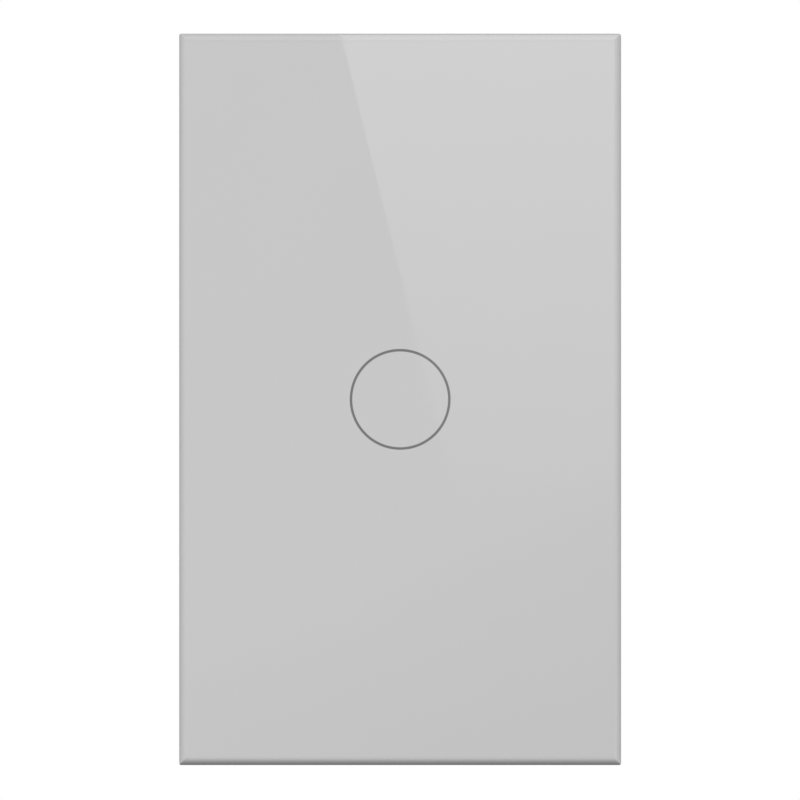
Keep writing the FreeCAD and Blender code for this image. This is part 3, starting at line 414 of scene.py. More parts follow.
# Painted shade: the colour darkens over the rounded edge, more at the top and bottom ends than at the
# sides.
edge = ramp(tree, figure(tree, "MINIMUM", side_room, end_room), painted_edge_shade_width, 0.0, soft=False)
edge = figure(tree, "POWER", edge, 1.7)
at_end = figure(tree, "LESS_THAN", end_room, side_room)
painted_edge_shade_tone = blended(tree, at_end, (0.42,) * 3, (0.27,) * 3)
on_side = ramp(tree, depth, side_front, side_front + 0.0003)
print_tone = blended(tree, noise(tree, here, 45.0, 4.0), (0.523,) * 3, (0.533,) * 3)
wander = noise(tree, mapped(tree, here, Scale=(25, 300, 25)), 3.0, 2.0)
depth_share = ramp(tree, depth, side_front, glass_rear - 0.0001, soft=False)
depth_share = figure(tree, "SUBTRACT", depth_share, 0.08)
depth_share = figure(tree, "MULTIPLY_ADD", wander, 0.16, depth_share)
# Painted light and shade: bright and dark bands across the side's thickness stand in for the highlights
# and shade of a clear glass edge.
painted_side_light_bands = put(tree, "ShaderNodeValToRGB", {"Fac": depth_share})
for k, (spot, tone) in enumerate((
    (0.0, (0.36, 0.37, 0.365)), (0.16, (0.2, 0.215, 0.208)), (0.45, (0.3, 0.325, 0.315)),
    (0.7, (0.17, 0.19, 0.18)), (0.88, (0.42, 0.44, 0.43)), (1.0, (0.3, 0.31, 0.305)),
)):
    stops = painted_side_light_bands.color_ramp.elements
    stop = stops[k] if k < 2 else stops.new(spot)
    stop.position = spot
    stop.color = (*tone, 1.0)
tone = blended(tree, edge, print_tone, painted_edge_shade_tone)
tone = blended(tree, on_side, tone, painted_side_light_bands.outputs["Color"])
# Painted shade: the ring is coloured near black for the unlit inside behind the gap.
tone = blended(tree, ring, tone, (0.145, 0.145, 0.15))
tree.links.new(tone, shader.inputs["Base Color"])
smears = noise(tree, here, 120.0, 6.0, Distortion=1.2)
tree.links.new(spread(tree, smears, 0.01, 0.026, 0.45, 0.8), shader.inputs["Roughness"])
glass.data.materials.append(material)
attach(glass, "front_panel")
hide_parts("glass_panel")


# Bonding tape: a die-cut ring of white foam, squeezed a little between the glass and its
# carrier, so that its cut edges bulge.
def bumped(tree, shader, height, strength, depth, **more):
    """A relief of that depth on the finish."""
    inputs = {"Height": height, "Strength": strength, "Distance": depth, **more}
    bump = put(tree, "ShaderNodeBump", inputs)
    tree.links.new(bump.outputs["Normal"], shader.inputs["Normal"])


tape_half_width = 0.03435
tape_half_height = 0.0581
tape_corner = 0.001
tape_thickness = 0.0005
tape_bulge = 0.00012
tape_band = 0.007
bulge_steps = 4
tape_profile = []
for inner in (False, True):
    for k in range(bulge_steps + 1):
        share = k / bulge_steps
        inset = tape_bulge * (1 - math.sin(math.pi * share))
        if inner:
            inset = tape_band - inset
            share = 1 - share
        tape_profile.append((inset, glass_rear + tape_thickness * share))
tape = ringed_plate(
    "foam_tape", tape_half_width, tape_half_height, tape_corner, tape_profile, 50, open_middle=True,
)
material, tree, shader = new_finish("foam", (0.8, 0.8, 0.78), 0.9)
pore_depth_and_shade = put(tree, "ShaderNodeTexVoronoi", {"Vector": own_place(tree), "Scale": 9000.0})
pore_depth_and_shade = pore_depth_and_shade.outputs["Distance"]
# Painted shade: the pores, which the bump sinks, are coloured darker than the white foam.
tone = blended(tree, pore_depth_and_shade, (0.5, 0.5, 0.48), (0.86, 0.86, 0.84))
tree.links.new(tone, shader.inputs["Base Color"])
bumped(tree, shader, pore_depth_and_shade, 0.5, 0.00005)
tape.data.materials.append(material)
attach(tape, "front_panel")
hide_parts("panel_tape")


# Carrier frame, base cover and rear housing: injection-moulded polycarbonate with a
# spark-eroded grain and slightly rounded edges. The carrier is grey, the other two white.
def shader_group(name, inputs, outputs):
    """An empty group of nodes for an effect that several finishes share, with its ends."""
    group = bpy.data.node_groups.new(name, "ShaderNodeTree")
    for label, value in inputs.items():
        socket = group.interface.new_socket(label, in_out="INPUT", socket_type="NodeSocketFloat")
        socket.default_value = value
    for label in outputs:
        kind = "NodeSocketVector" if label == "Normal" else "NodeSocketFloat"
        group.interface.new_socket(label, in_out="OUTPUT", socket_type=kind)
    given = group.nodes.new("NodeGroupInput").outputs
    return group, given, group.nodes.new("NodeGroupOutput").inputs


def place_group(tree, group, **values):
    """The shared effect set into a finish, with that finish's own values."""
    node = put(tree, "ShaderNodeGroup", node_tree=group)
    for label, value in values.items():
        node.inputs[label.replace("_", " ").title()].default_value = value
    return node.outputs


spark_grain, given, result = shader_group("spark_grain", {"Grain Size": 0.0003}, ["Height", "Tone"])
here = own_place(spark_grain)
fineness = figure(spark_grain, "DIVIDE", 1.0, given["Grain Size"])
spark_grain.links.new(noise(spark_grain, here, fineness, 3.0, Roughness=0.6), result["Height"])
spark_grain.links.new(noise(spark_grain, here, 70.0, 3.0), result["Tone"])

rubbed_edge, given, result = shader_group(
    "rubbed_edge", {"Reach": 0.0003, "Wear": 0.5}, ["Mask", "Normal"],
)
tree = rubbed_edge
rounded = put(tree, "ShaderNodeBevel", {"Radius": given["Reach"]}, samples=4).outputs["Normal"]
facing = put(tree, "ShaderNodeNewGeometry").outputs["Normal"]
same = put(tree, "ShaderNodeVectorMath", {0: rounded, 1: facing}, operation="DOT_PRODUCT")
turned_away = ramp(tree, figure(tree, "SUBTRACT", 1.0, same.outputs["Value"]), 0.02, 0.25)
patches = ramp(tree, noise(tree, own_place(tree), 400.0, 4.0), 0.35, 0.7)
tree.links.new(product(tree, turned_away, patches, given["Wear"]), result["Mask"])
tree.links.new(rounded, result["Normal"])

settled_dust, given, result = shader_group("settled_dust", {"Amount": 0.1}, ["Mask"])
tree = settled_dust
specks = ramp(tree, noise(tree, own_place(tree), 1400.0, 5.0, Roughness=0.7), 0.4, 0.75)
facing = put(tree, "ShaderNodeNewGeometry").outputs["Normal"]
upward = ramp(tree, part(tree, facing, "Z"), -0.2, 1.0)
tree.links.new(product(tree, specks, upward, given["Amount"]), result["Mask"])


def moulded(name, colour, roughness=0.5, size=0.0003, depth=0.00002, wear=0.35, dust=0.12, **sockets):
    """Moulded plastic with its grain, rubbed edges and a little dust."""
    material, tree, shader = new_finish(name, colour, roughness, **sockets)
    grain = place_group(tree, spark_grain, grain_size=size)
    edges = place_group(tree, rubbed_edge, reach=0.0003, wear=wear)
    dusty = place_group(tree, settled_dust, amount=dust)
    deeper = tuple(c * 0.93 for c in colour)
    paler = tuple(min(c * 1.12 + 0.03, 0.95) for c in colour)
    tone = blended(tree, grain["Tone"], deeper, colour)
    tone = blended(tree, edges["Mask"], tone, paler)
    tone = blended(tree, dusty["Mask"], tone, (0.55, 0.54, 0.52))
    tree.links.new(tone, shader.inputs["Base Color"])
    rough = spread(tree, grain["Height"], roughness - 0.06, roughness + 0.08)
    tree.links.new(rough, shader.inputs["Roughness"])
    bumped(tree, shader, grain["Height"], 0.4, depth, Normal=edges["Normal"])
    return material


def faired(node, body, material, rounds=()):
    """A piece with the CAD node's shape, its walls shaded round. Each of the rounds is a radius
    and the rule for the places whose edges get it, and the other edges stay crisp."""
    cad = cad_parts[node].data
    copied = bpy.data.meshes.new(node + "_copied")
    copied.from_pydata([v.co for v in cad.vertices], [], [tuple(f.vertices) for f in cad.polygons])
    shape = bmesh.new()
    shape.from_mesh(copied)
    bmesh.ops.remove_doubles(shape, verts=shape.verts, dist=0.000002)
    if rounds:
        flat = math.radians(0.6)
        bmesh.ops.dissolve_limit(shape, angle_limit=flat, verts=shape.verts, edges=shape.edges)
    for radius, is_there in rounds:
        crisp = [edge for edge in shape.edges if edge.calc_face_angle(0.0) > math.radians(40)]
        bmesh.ops.bevel(
            shape, geom=[edge for edge in crisp if all(is_there(*end.co) for end in edge.verts)],
            offset=radius, offset_type="OFFSET", segments=4, profile=0.5, affect="EDGES",
        )
    smoothed(shape)
    piece = made_piece(node + "_faired", shape, 28, material)
    even = piece.modifiers.new("flat_faces_stay_flat", "WEIGHTED_NORMAL")
    even.weight = 100
    even.keep_sharp = True
    evaluated = piece.evaluated_get(bpy.context.evaluated_depsgraph_get())
    even_mesh = bpy.data.meshes.new_from_object(evaluated)
    piece.modifiers.remove(even)
    piece.data = even_mesh
    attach(piece, body)
    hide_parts(node)


grey_plastic = moulded("grey_carrier_plastic", (0.29, 0.29, 0.3), roughness=0.55)
white_plastic = moulded("white_housing_plastic", (0.74, 0.74, 0.72), roughness=0.48)
hair = 0.00001
skirt_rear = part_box("panel_frame")[1].y
faired(
    "panel_frame", "front_panel", grey_plastic,
    rounds=[(0.00025, lambda x, y, z: y > skirt_rear - hair)],
)
cover_low, cover_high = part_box("base_cover")
cover_rim = 0.0013
faired(
    "base_cover", "base", white_plastic,
    rounds=[(0.0004, lambda x, y, z: y < cover_low.y + hair and (
        abs(x) > cover_high.x - cover_rim or abs(z) > cover_high.z - cover_rim
    ))],
)
ear_rear = 0.003
ear_place = (0.0185, 0.037)
ear_start = 0.0338
ear_well = 0.003
housing_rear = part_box("rear_housing")[1].y
housing_rim = (0.02, 0.0303)
faired(
    "rear_housing", "base", white_plastic,
    rounds=[
        (0.0008, lambda x, y, z: y > housing_rear - hair and (
            abs(x) > housing_rim[0] or abs(z) > housing_rim[1]
        )),
        (0.0004, lambda x, y, z: abs(y - ear_rear) < hair and abs(z) > ear_start and (
            math.hypot(abs(x) - ear_place[0], abs(z) - ear_place[1]) > ear_well
        )),
    ],
)


# Yoke and panel clips: the yoke is stamped from zinc-plated steel strip, and the clips are
# bent from bright spring strip, so both carry the fine lines of rolling.
rolled_lines, given, result = shader_group("rolled_lines", {"Fineness": 1.0}, ["Height", "Tone"])
tree = rolled_lines
here = own_place(tree)
drawn_out = mapped(tree, here, Scale=(1600, 1600, 35))
lines = noise(tree, drawn_out, given["Fineness"], 6.0, Roughness=0.65)
plating = product(tree, noise(tree, here, 90.0, 5.0), 0.4)
plating = figure(tree, "MULTIPLY_ADD", lines, 0.6, plating)
tree.links.new(lines, result["Height"])
tree.links.new(ramp(tree, plating, 0.35, 0.65), result["Tone"])


def metal(name, colour, shade, roughness=0.32, fineness=1.0, wear=0.5, dust=0.08, depth=0.000004):
    """Bright or plated metal with rolling lines, worn edges and a cloudy second shade."""
    material, tree, shader = new_finish(name, colour, roughness, metallic=1.0)
    strip = place_group(tree, rolled_lines, fineness=fineness)
    edges = place_group(tree, rubbed_edge, reach=0.0002, wear=wear)
    dusty = place_group(tree, settled_dust, amount=dust)
    tone = blended(tree, strip["Tone"], shade, colour)
    tone = blended(tree, edges["Mask"], tone, tuple(min(c * 1.25, 0.95) for c in colour))
    tone = blended(tree, dusty["Mask"], tone, (0.5, 0.49, 0.47))
    tree.links.new(tone, shader.inputs["Base Color"])
    rough = spread(tree, strip["Height"], roughness - 0.1, roughness + 0.14)
    tree.links.new(rough, shader.inputs["Roughness"])
    bumped(tree, shader, strip["Height"], 0.5, depth, Normal=edges["Normal"])
    return material


zinc_strip = metal("zinc_plated_strip", (0.5, 0.505, 0.515), (0.44, 0.445, 0.46), roughness=0.34)
spring_strip = metal("spring_strip", (0.6, 0.6, 0.6), (0.52, 0.52, 0.53), roughness=0.22)
faired("mounting_yoke", "base", zinc_strip)
faired("panel_clips", "base", spring_strip)


# Screws: rolled steel screws with a pressed recess, zinc-plated, and green on the earth
# terminal. One geometry tree turns each profile, presses the recess and cuts the thread.
def geometry_tree(name, rows, output):
    """An empty geometry tree with an input for each row, and the sockets that give them."""
    tree = bpy.data.node_groups.new(name, "GeometryNodeTree")
    for label, kind, value in rows:
        made = tree.interface.new_socket(label, in_out="INPUT", socket_type="NodeSocket" + kind)
        if value is not None:
            made.default_value = value
    tree.interface.new_socket(output, in_out="OUTPUT", socket_type="NodeSocketGeometry")
    return tree, tree.nodes.new("NodeGroupInput").outputs


def ended(tree, geometry, finish):
    """The tree ends in real copies with their finish."""
    real = put(tree, "GeometryNodeRealizeInstances", {"Geometry": geometry}).outputs["Geometry"]
    painted = put(tree, "GeometryNodeSetMaterial", {"Geometry": real, "Material": finish})
    tree.links.new(painted.outputs["Geometry"], tree.nodes.new("NodeGroupOutput").inputs[0])


def choose(tree, index, values):
    """The value of that number in the list."""
    node = put(tree, "GeometryNodeIndexSwitch", data_type="FLOAT")
    while len(node.index_switch_items) < len(values):
        node.index_switch_items.new()
    tree.links.new(index, node.inputs["Index"])
    for k, value in enumerate(values):
        socket = node.inputs[k + 1]
        if isinstance(value, bpy.types.NodeSocket):
            tree.links.new(value, socket)
        else:
            socket.default_value = value
    return node.outputs[0]


def either(tree, second_holds, first, second):
    """The first value, or the second one where it holds."""
    # A Mix node takes plain values on its sockets 2 and 3.
    inputs = {"Factor": second_holds, 2: first, 3: second}
    return put(tree, "ShaderNodeMix", inputs, data_type="FLOAT").outputs[0]


screw_rows = 44
screw_columns = 73
head_rows = 8
full_turn = 2 * math.pi
turned_screw, given = geometry_tree("turned_screw", (
    ("Places", "Geometry", None), ("Head Radius", "Float", 0.0027), ("Head Height", "Float", 0.0017),
    ("Shank Radius", "Float", 0.00125), ("Length", "Float", 0.006), ("Thread Pitch", "Float", 0.0008),
    ("Recess Arms", "Float", 4.0), ("Recess Reach", "Float", 0.6), ("Recess Width", "Float", 0.2),
    ("Recess Depth", "Float", 0.6), ("Way", "Vector", (0.0, 0.0, 0.0)), ("Seed", "Int", 1),
    ("Finish", "Material", None),
), "Screws")
tree = turned_screw
blank = put(tree, "GeometryNodeMeshGrid", {"Vertices X": screw_rows, "Vertices Y": screw_columns})
spot = put(tree, "GeometryNodeInputPosition").outputs[0]
row = product(tree, figure(tree, "ADD", part(tree, spot, "X"), 0.5), screw_rows - 1.0)
row = figure(tree, "ROUND", row)
turn = product(tree, figure(tree, "ADD", part(tree, spot, "Y"), 0.5), full_turn)

# The recess is a cross or a slot: in each of its sectors an arm has a straight side and end.
fold = figure(tree, "PINGPONG", turn, figure(tree, "DIVIDE", math.pi, given["Recess Arms"]))
arm_end = figure(tree, "MAXIMUM", figure(tree, "COSINE", fold), 0.001)
arm_end = figure(tree, "DIVIDE", given["Recess Reach"], arm_end)
arm_side = figure(tree, "MAXIMUM", figure(tree, "SINE", fold), 0.001)
arm_side = figure(tree, "DIVIDE", given["Recess Width"], arm_side)
recess = product(tree, figure(tree, "MINIMUM", arm_end, arm_side), given["Head Radius"])
head_row = figure(tree, "MINIMUM", row, float(head_rows))
reach = [0.0, product(tree, recess, 0.55), product(tree, recess, 0.94), recess]
reach += [product(tree, given["Head Radius"], k) for k in (0.9, 0.985, 1.0, 0.97)]
floor_of_recess = figure(tree, "SUBTRACT", 1.0, given["Recess Depth"])
rise = [floor_of_recess, floor_of_recess, 0.93, 0.97, 0.86, 0.62, 0.1, 0.0]
head_reach = choose(tree, head_row, reach + [given["Shank Radius"]])
head_rise = product(tree, choose(tree, head_row, rise + [0.0]), given["Head Height"])

# The thread winds down the shank, which runs out to a point at its tip.
share = ramp(tree, row, float(head_rows), screw_rows - 1.0, soft=False)
down = product(tree, share, given["Length"])
wind = figure(tree, "DIVIDE", down, given["Thread Pitch"])
wind = figure(tree, "SUBTRACT", wind, figure(tree, "DIVIDE", turn, full_turn))
ridge = product(tree, figure(tree, "PINGPONG", wind, 0.5), 2.0)
thread = figure(tree, "MULTIPLY_ADD", ridge, 0.2, 0.8)
taper = figure(tree, "MULTIPLY", figure(tree, "SUBTRACT", 1.0, share), 10.0, clamp=True)
shank_reach = product(tree, given["Shank Radius"], thread, taper)
on_shank = figure(tree, "GREATER_THAN", row, head_rows - 0.5)
out = either(tree, on_shank, head_reach, shank_reach)
spun = put(tree, "ShaderNodeCombineXYZ", {
    "X": product(tree, out, figure(tree, "COSINE", turn)),
    "Y": product(tree, out, figure(tree, "SINE", turn)),
    "Z": either(tree, on_shank, head_rise, product(tree, down, -1.0)),
})
solid = put(tree, "GeometryNodeSetPosition", {
    "Geometry": blank.outputs["Mesh"], "Position": spun.outputs["Vector"],
})
closed = put(tree, "GeometryNodeMergeByDistance", {
    "Geometry": solid.outputs["Geometry"], "Distance": 0.000002,
})
own_turn = put(tree, "FunctionNodeRandomValue", {
    "Max": full_turn, "Seed": given["Seed"],
}, data_type="FLOAT")
turned_by = put(tree, "ShaderNodeCombineXYZ", {"Z": own_turn.outputs[1]})
set_down = put(tree, "GeometryNodeInstanceOnPoints", {
    "Points": given["Places"], "Instance": closed.outputs["Geometry"], "Rotation": given["Way"],
})
set_down = put(tree, "GeometryNodeRotateInstances", {
    "Instances": set_down.outputs["Instances"], "Rotation": turned_by.outputs["Vector"],
    "Local Space": True,
})
ended(tree, set_down.outputs["Instances"], given["Finish"])


def grown(name, start, tree, degrees, **values):
    """What the geometry tree makes of the mesh, as a closed piece that faces outwards."""
    maker = bpy.data.objects.new(name + "_maker", start)
    scene.collection.objects.link(maker)
    tool = maker.modifiers.new(tree.name, "NODES")
    tool.node_group = tree
    sockets = {made.name: made.identifier for made in tree.interface.items_tree}
    for label, value in values.items():
        tool[sockets[label.replace("_", " ").title()]] = value
    evaluated = maker.evaluated_get(bpy.context.evaluated_depsgraph_get())
    result = bpy.data.meshes.new_from_object(evaluated)
    bpy.data.objects.remove(maker)
    shape = bmesh.new()
    shape.from_mesh(result)
    bmesh.ops.remove_doubles(shape, verts=shape.verts, dist=0.000001)
    bmesh.ops.recalc_face_normals(shape, faces=shape.faces)
    smoothed(shape)
    return made_piece(name, shape, degrees, *result.materials)


def driven_screws(name, places, way, body, slot, node, finish, seed, **sizes):
    """Screws at these places, all on one body, in place of that CAD node."""
    start = bpy.data.meshes.new(name + "_places")
    start.from_pydata(places, [], [])
    piece = grown(name, start, turned_screw, 38, way=way, seed=seed, finish=finish, **sizes)
    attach(piece, body)
    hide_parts(node)


zinc_screw = metal("zinc_plated_screw", (0.64, 0.65, 0.66), (0.52, 0.53, 0.55), roughness=0.28, wear=0.8)
green_screw = metal("green_chromate", (0.03, 0.3, 0.1), (0.02, 0.2, 0.06), roughness=0.3, wear=0.6)
head_rearward = (-math.pi / 2, 0.0, 0.0)
head_downward = (math.pi, 0.0, 0.0)
ear_screw_places = [
    (sx * ear_place[0], ear_rear, sz * ear_place[1]) for sx in (-1, 1) for sz in (-1, 1)
]
driven_screws(
    "ear_screws", ear_screw_places,
    head_rearward, "base", "zinc_steel", "housing_screws", zinc_screw, 3,
    head_radius=0.0027, head_height=0.0017, shank_radius=0.00125, length=0.0064,
)
board_screw_places = [(side * 0.0164, 0.0018, side * -0.0244) for side in (-1, 1)]
driven_screws(
    "touch_board_screws", board_screw_places,
    head_rearward, "base", "zinc_steel", "board_screws", zinc_screw, 5,
    head_radius=0.0019, head_height=0.0012, shank_radius=0.001, length=0.0036, thread_pitch=0.0006,
)
driven_screws(
    "green_earth_screw", [(-0.0105, 0.005, -0.0377)],
    head_downward, "base", "earth_green", "earth_screw", green_screw, 8,
    head_radius=0.0029, head_height=0.002, shank_radius=0.00175, length=0.0032,
    recess_arms=2.0, recess_reach=0.86, recess_width=0.13, recess_depth=0.4,
)
terminal_pitch = 0.00762
clamp_head = 0.02245
clamp_level = -0.0256
for number in (1, 2, 3):
    driven_screws(
        "clamp_screw_metal_%d" % number, [((number - 2) * terminal_pitch, clamp_head, clamp_level)],
        head_rearward, "clamp_screw_%d" % number, "zinc_steel", "terminal_screw_%d" % number,
        zinc_screw, 10 + number,
        head_radius=0.0023, head_height=0.0016, shank_radius=0.0015, length=0.0058,
        recess_reach=0.68, recess_width=0.17, recess_depth=0.62,
    )


# Touch spring: a loose coil of round spring wire that stands on the board and presses on
# the back of the glass. The wire follows a helix drawn by a geometry tree.
wound_wire, given = geometry_tree("wound_wire", (
    ("Coil Radius", "Float", 0.0034), ("Wire Radius", "Float", 0.0003), ("Turns", "Float", 3.5562),
    ("Rise", "Float", 0.00606), ("Steps", "Int", 40), ("Sides", "Int", 12),
    ("Finish", "Material", None),
), "Coil")
helix = put(wound_wire, "GeometryNodeCurveSpiral", {
    "Resolution": given["Steps"], "Rotations": given["Turns"], "Start Radius": given["Coil Radius"],
    "End Radius": given["Coil Radius"], "Height": given["Rise"], "Reverse": True,
})
wire = put(wound_wire, "GeometryNodeCurvePrimitiveCircle", {
    "Resolution": given["Sides"], "Radius": given["Wire Radius"],
})
tube = put(wound_wire, "GeometryNodeCurveToMesh", {
    "Curve": helix.outputs["Curve"], "Profile Curve": wire.outputs["Curve"], "Fill Caps": True,
})
ended(wound_wire, tube.outputs["Mesh"], given["Finish"])


def coiled(name, place, finish, slot, node, **sizes):
    """Wire wound about the Y axis through that place, in place of that CAD node."""
    start = bpy.data.meshes.new(name + "_start")
    coil = grown(name, start, wound_wire, 75, finish=finish, **sizes)
    for vertex in coil.data.vertices:
        across, up, along = vertex.co
        vertex.co = (place[0] + across, place[1] + along, place[2] - up)
    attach(coil, "base")
    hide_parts(node)


coiled("touch_coil", (0.0, -0.0059, 0.0), spring_strip, "spring_steel", "touch_spring")


# Boards: glass-cloth boards with a green mask over etched copper, which lies in broad fields
# with gaps between them and in fine tracks, and tinned pads.
def board_finish(name, pitch):
    """Green mask over copper fields and tracks, with tinned pads, for parts at that pitch."""
    material, tree, shader = new_finish(name, (0.02, 0.17, 0.06), 0.35)
    face_on = mapped(tree, own_place(tree), Rotation=(math.pi / 2, 0, 0))
    near_field, next_field = [
        put(tree, "ShaderNodeTexVoronoi", {
            "Vector": face_on, "Scale": 1 / (pitch * 3.2), "Randomness": 0.9,
        }, voronoi_dimensions="2D", distance="CHEBYCHEV", feature=feature).outputs
        for feature in ("F1", "F2")
    ]
    apart = figure(tree, "SUBTRACT", next_field["Distance"], near_field["Distance"])
    within = ramp(tree, apart, 0.05, 0.07)
    filled = figure(tree, "GREATER_THAN", part(tree, near_field["Color"], "X"), 0.42)
    tracks = put(tree, "ShaderNodeTexBrick", {
        "Vector": face_on, "Scale": 1.0, "Mortar Size": pitch * 0.12, "Mortar Smooth": 0.1,
        "Brick Width": pitch * 7, "Row Height": pitch * 0.5,
    }, offset=0.37, squash=1.4, squash_frequency=3).outputs["Fac"]
    copper = product(tree, either(tree, filled, tracks, 1.0), within)
    pads = put(tree, "ShaderNodeTexVoronoi", {
        "Vector": face_on, "Scale": 1 / (pitch * 2.0), "Randomness": 0.35,
    }, voronoi_dimensions="2D").outputs
    pad = figure(tree, "SUBTRACT", 1.0, ramp(tree, pads["Distance"], 0.16, 0.19))
    pad = product(tree, pad, figure(tree, "GREATER_THAN", part(tree, pads["Color"], "Y"), 0.6))
    weave = put(tree, "ShaderNodeTexChecker", {"Vector": face_on, "Scale": 1800.0})
    tone = blended(tree, weave.outputs["Fac"], (0.016, 0.13, 0.045), (0.02, 0.155, 0.055))
    tone = blended(tree, copper, tone, (0.045, 0.27, 0.1))
    tone = blended(tree, pad, tone, (0.7, 0.7, 0.68))
    tree.links.new(tone, shader.inputs["Base Color"])
    tree.links.new(pad, shader.inputs["Metallic"])
    bumped(tree, shader, figure(tree, "MAXIMUM", copper, pad), 0.5, 0.00004)
    return material


def dress(material, *nodes):
    """The CAD nodes keep their shape and take this finish."""
    for node in nodes:
        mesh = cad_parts[node].data
        if not mesh.materials:
            mesh.materials.append(material)
        for k in range(len(mesh.materials)):
            mesh.materials[k] = material


dress(board_finish("touch_board_mask", 0.0009), "touch_board", "radio_board")
dress(board_finish("power_board_mask", 0.0018), "power_board")


# Ring light: a tube moulded in milky acrylic, which stands on the touch board on its tabs
# and leads the light of four small lamps to the ring in the print.
milky = moulded(
    "milky_acrylic", (0.78, 0.79, 0.8), roughness=0.4, wear=0.1, dust=0.02,
    subsurface_weight=0.3, subsurface_radius=(0.002, 0.002, 0.002),
)
faired("light_guide", "base", milky)
lamp_resin = moulded("lamp_resin", (0.8, 0.78, 0.6), roughness=0.2, wear=0.1, dust=0.02)
dress(lamp_resin, "status_leds")


# Chips, resistors, the radio's can and the board-to-board connector: moulded epoxy, fired
# ceramic, tinned sheet and black nylon with brass pins.
epoxy = moulded("chip_epoxy", (0.025, 0.025, 0.026), roughness=0.55, size=0.00015, wear=0.1, dust=0.05)
ceramic = moulded("resistor_body", (0.04, 0.04, 0.045), roughness=0.35, size=0.0002, wear=0.3)
tinned = metal("tinned_sheet", (0.68, 0.68, 0.69), (0.6, 0.6, 0.61), roughness=0.25)
nylon = moulded("black_nylon", (0.03, 0.03, 0.03), roughness=0.45)
brass = metal("brass_strip", (0.72, 0.52, 0.24), (0.64, 0.44, 0.18), roughness=0.25)
dress(epoxy, "touch_chip", "bridge_rectifier", "regulator_chip")
dress(ceramic, "chip_resistors")
dress(tinned, "radio_shield")
dress(nylon, "header_housing", "board_socket")
dress(brass, "header_pins")


# Terminal block: moulded in green nylon, with a cavity, a wire entry and a screw bore for
# each pole. A brass cage rises in each cavity round a fixed brass tab.
green_nylon = moulded("green_nylon", (0.07, 0.28, 0.13), roughness=0.45)
faired("terminal_block", "base", green_nylon)
dress(brass, "terminal_tabs")
for number in (1, 2, 3):
    faired("terminal_cage_%d" % number, "clamp_cage_%d" % number, brass)


# Relay: blue moulded case over a nylon spool wound with enamelled wire, with nickel-plated
# soft iron parts and brass contacts. The winding's outer layer lies turn beside turn.
relay_case = moulded("relay_case", (0.04, 0.12, 0.36), roughness=0.3)
case_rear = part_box("relay_cover")[1].y
faired(
    "relay_cover", "base", relay_case,
    rounds=[(0.0004, lambda x, y, z: y > case_rear - hair)],
)
dress(relay_case, "relay_base")
spool_nylon = moulded("spool_nylon", (0.72, 0.67, 0.52), roughness=0.4)
faired("relay_bobbin", "base", spool_nylon)
soft_iron = metal("nickelled_iron", (0.55, 0.54, 0.52), (0.42, 0.41, 0.4), roughness=0.35)
faired("relay_core", "base", soft_iron)
dress(soft_iron, "relay_iron_frame", "relay_armature")
faired("relay_contact", "base", brass)
dress(brass, "relay_leaf")


def turned(name, outline, place, finishes, ring=False):
    """A closed body turned about the Y axis through that place, from its (radius, depth)
    points. A ring's last point joins its first."""
    shape = bmesh.new()
    columns = 48
    turns = [full_turn * k / columns for k in range(columns)]
    rows = []
    for reach, depth in outline:
        rows.append([
            shape.verts.new((place.x + reach * math.cos(t), depth, place.z + reach * math.sin(t)))
            for t in turns
        ])
    if ring:
        rows.append(rows[0])
    for near, far in zip(rows, rows[1:]):
        for k in range(columns):
            after = (k + 1) % columns
            shape.faces.new((near[k], near[after], far[after], far[k]))
    bmesh.ops.remove_doubles(shape, verts=shape.verts, dist=0.000001)
    bmesh.ops.recalc_face_normals(shape, faces=shape.faces)
    smoothed(shape)
    piece = made_piece(name, shape, 50, *finishes)
    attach(piece, "base")
    return piece


enamel = metal("enamelled_wire", (0.72, 0.3, 0.12), (0.58, 0.21, 0.08), roughness=0.3, depth=0.000001)
coil_low, coil_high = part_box("relay_winding")
coil_middle = (coil_low + coil_high) / 2
coil_radius = (coil_high.x - coil_low.x) / 2
spool_radius = 0.00263
wire_radius = 0.000075
wire_pitch = 0.000153
layer_radius = coil_radius - wire_radius
rise = coil_high.y - coil_low.y - 2 * wire_radius
coiled(
    "relay_coil", (coil_middle.x, coil_low.y + wire_radius, coil_middle.z), enamel, "copper",
    "relay_winding", coil_radius=layer_radius, wire_radius=wire_radius,
    turns=rise / wire_pitch, rise=rise, steps=28, sides=6,
)
under = [
    (spool_radius, coil_low.y), (layer_radius, coil_low.y),
    (layer_radius, coil_high.y), (spool_radius, coil_high.y),
]
inner_layers = turned("relay_coil_inner_layers", under, coil_middle, [enamel], ring=True)


# Transformer: a closed ferrite core round a spool, whose windings lie under yellow tape
# between two flanges. A neck at each end of the core joins the spool to its foot.
def everywhere(x, y, z):
    """The rule for a piece whose crisp edges all get the rounding."""
    return True


ferrite = moulded("fired_ferrite", (0.05, 0.05, 0.055), roughness=0.5, size=0.0004, wear=0.5)
faired("transformer_core", "base", ferrite, rounds=[(0.00025, everywhere)])
spool_black = moulded("spool_black", (0.03, 0.03, 0.032), roughness=0.45)
yellow_tape = moulded(
    "polyester_tape", (0.72, 0.56, 0.09), roughness=0.22, size=0.0008, depth=0.00003, wear=0.1,
    coat_weight=0.3,
)
core_low, core_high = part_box("transformer_core")
wound_low, wound_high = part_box("transformer_winding")
leg = 0.0026
foot_thickness = 0.001
foot_round = 0.0002
flange = 0.0005
tape_sunk = 0.00045
tape_swell = 0.0002
crown_steps = 8
core_gap = 0.0001
wound_corner = 0.0016
wound_front = core_low.y + leg
wound_rear = core_high.y - leg
wound_half = ((core_high.x - core_low.x) / 2 - leg - core_gap, (wound_high.z - wound_low.z) / 2)
spool_wall = wound_half[0] - leg / 2 - core_gap / 2
tape_low = wound_front + flange
tape_high = wound_rear - flange
wound_profile = [(0.0, wound_front), (0.0, tape_low)]
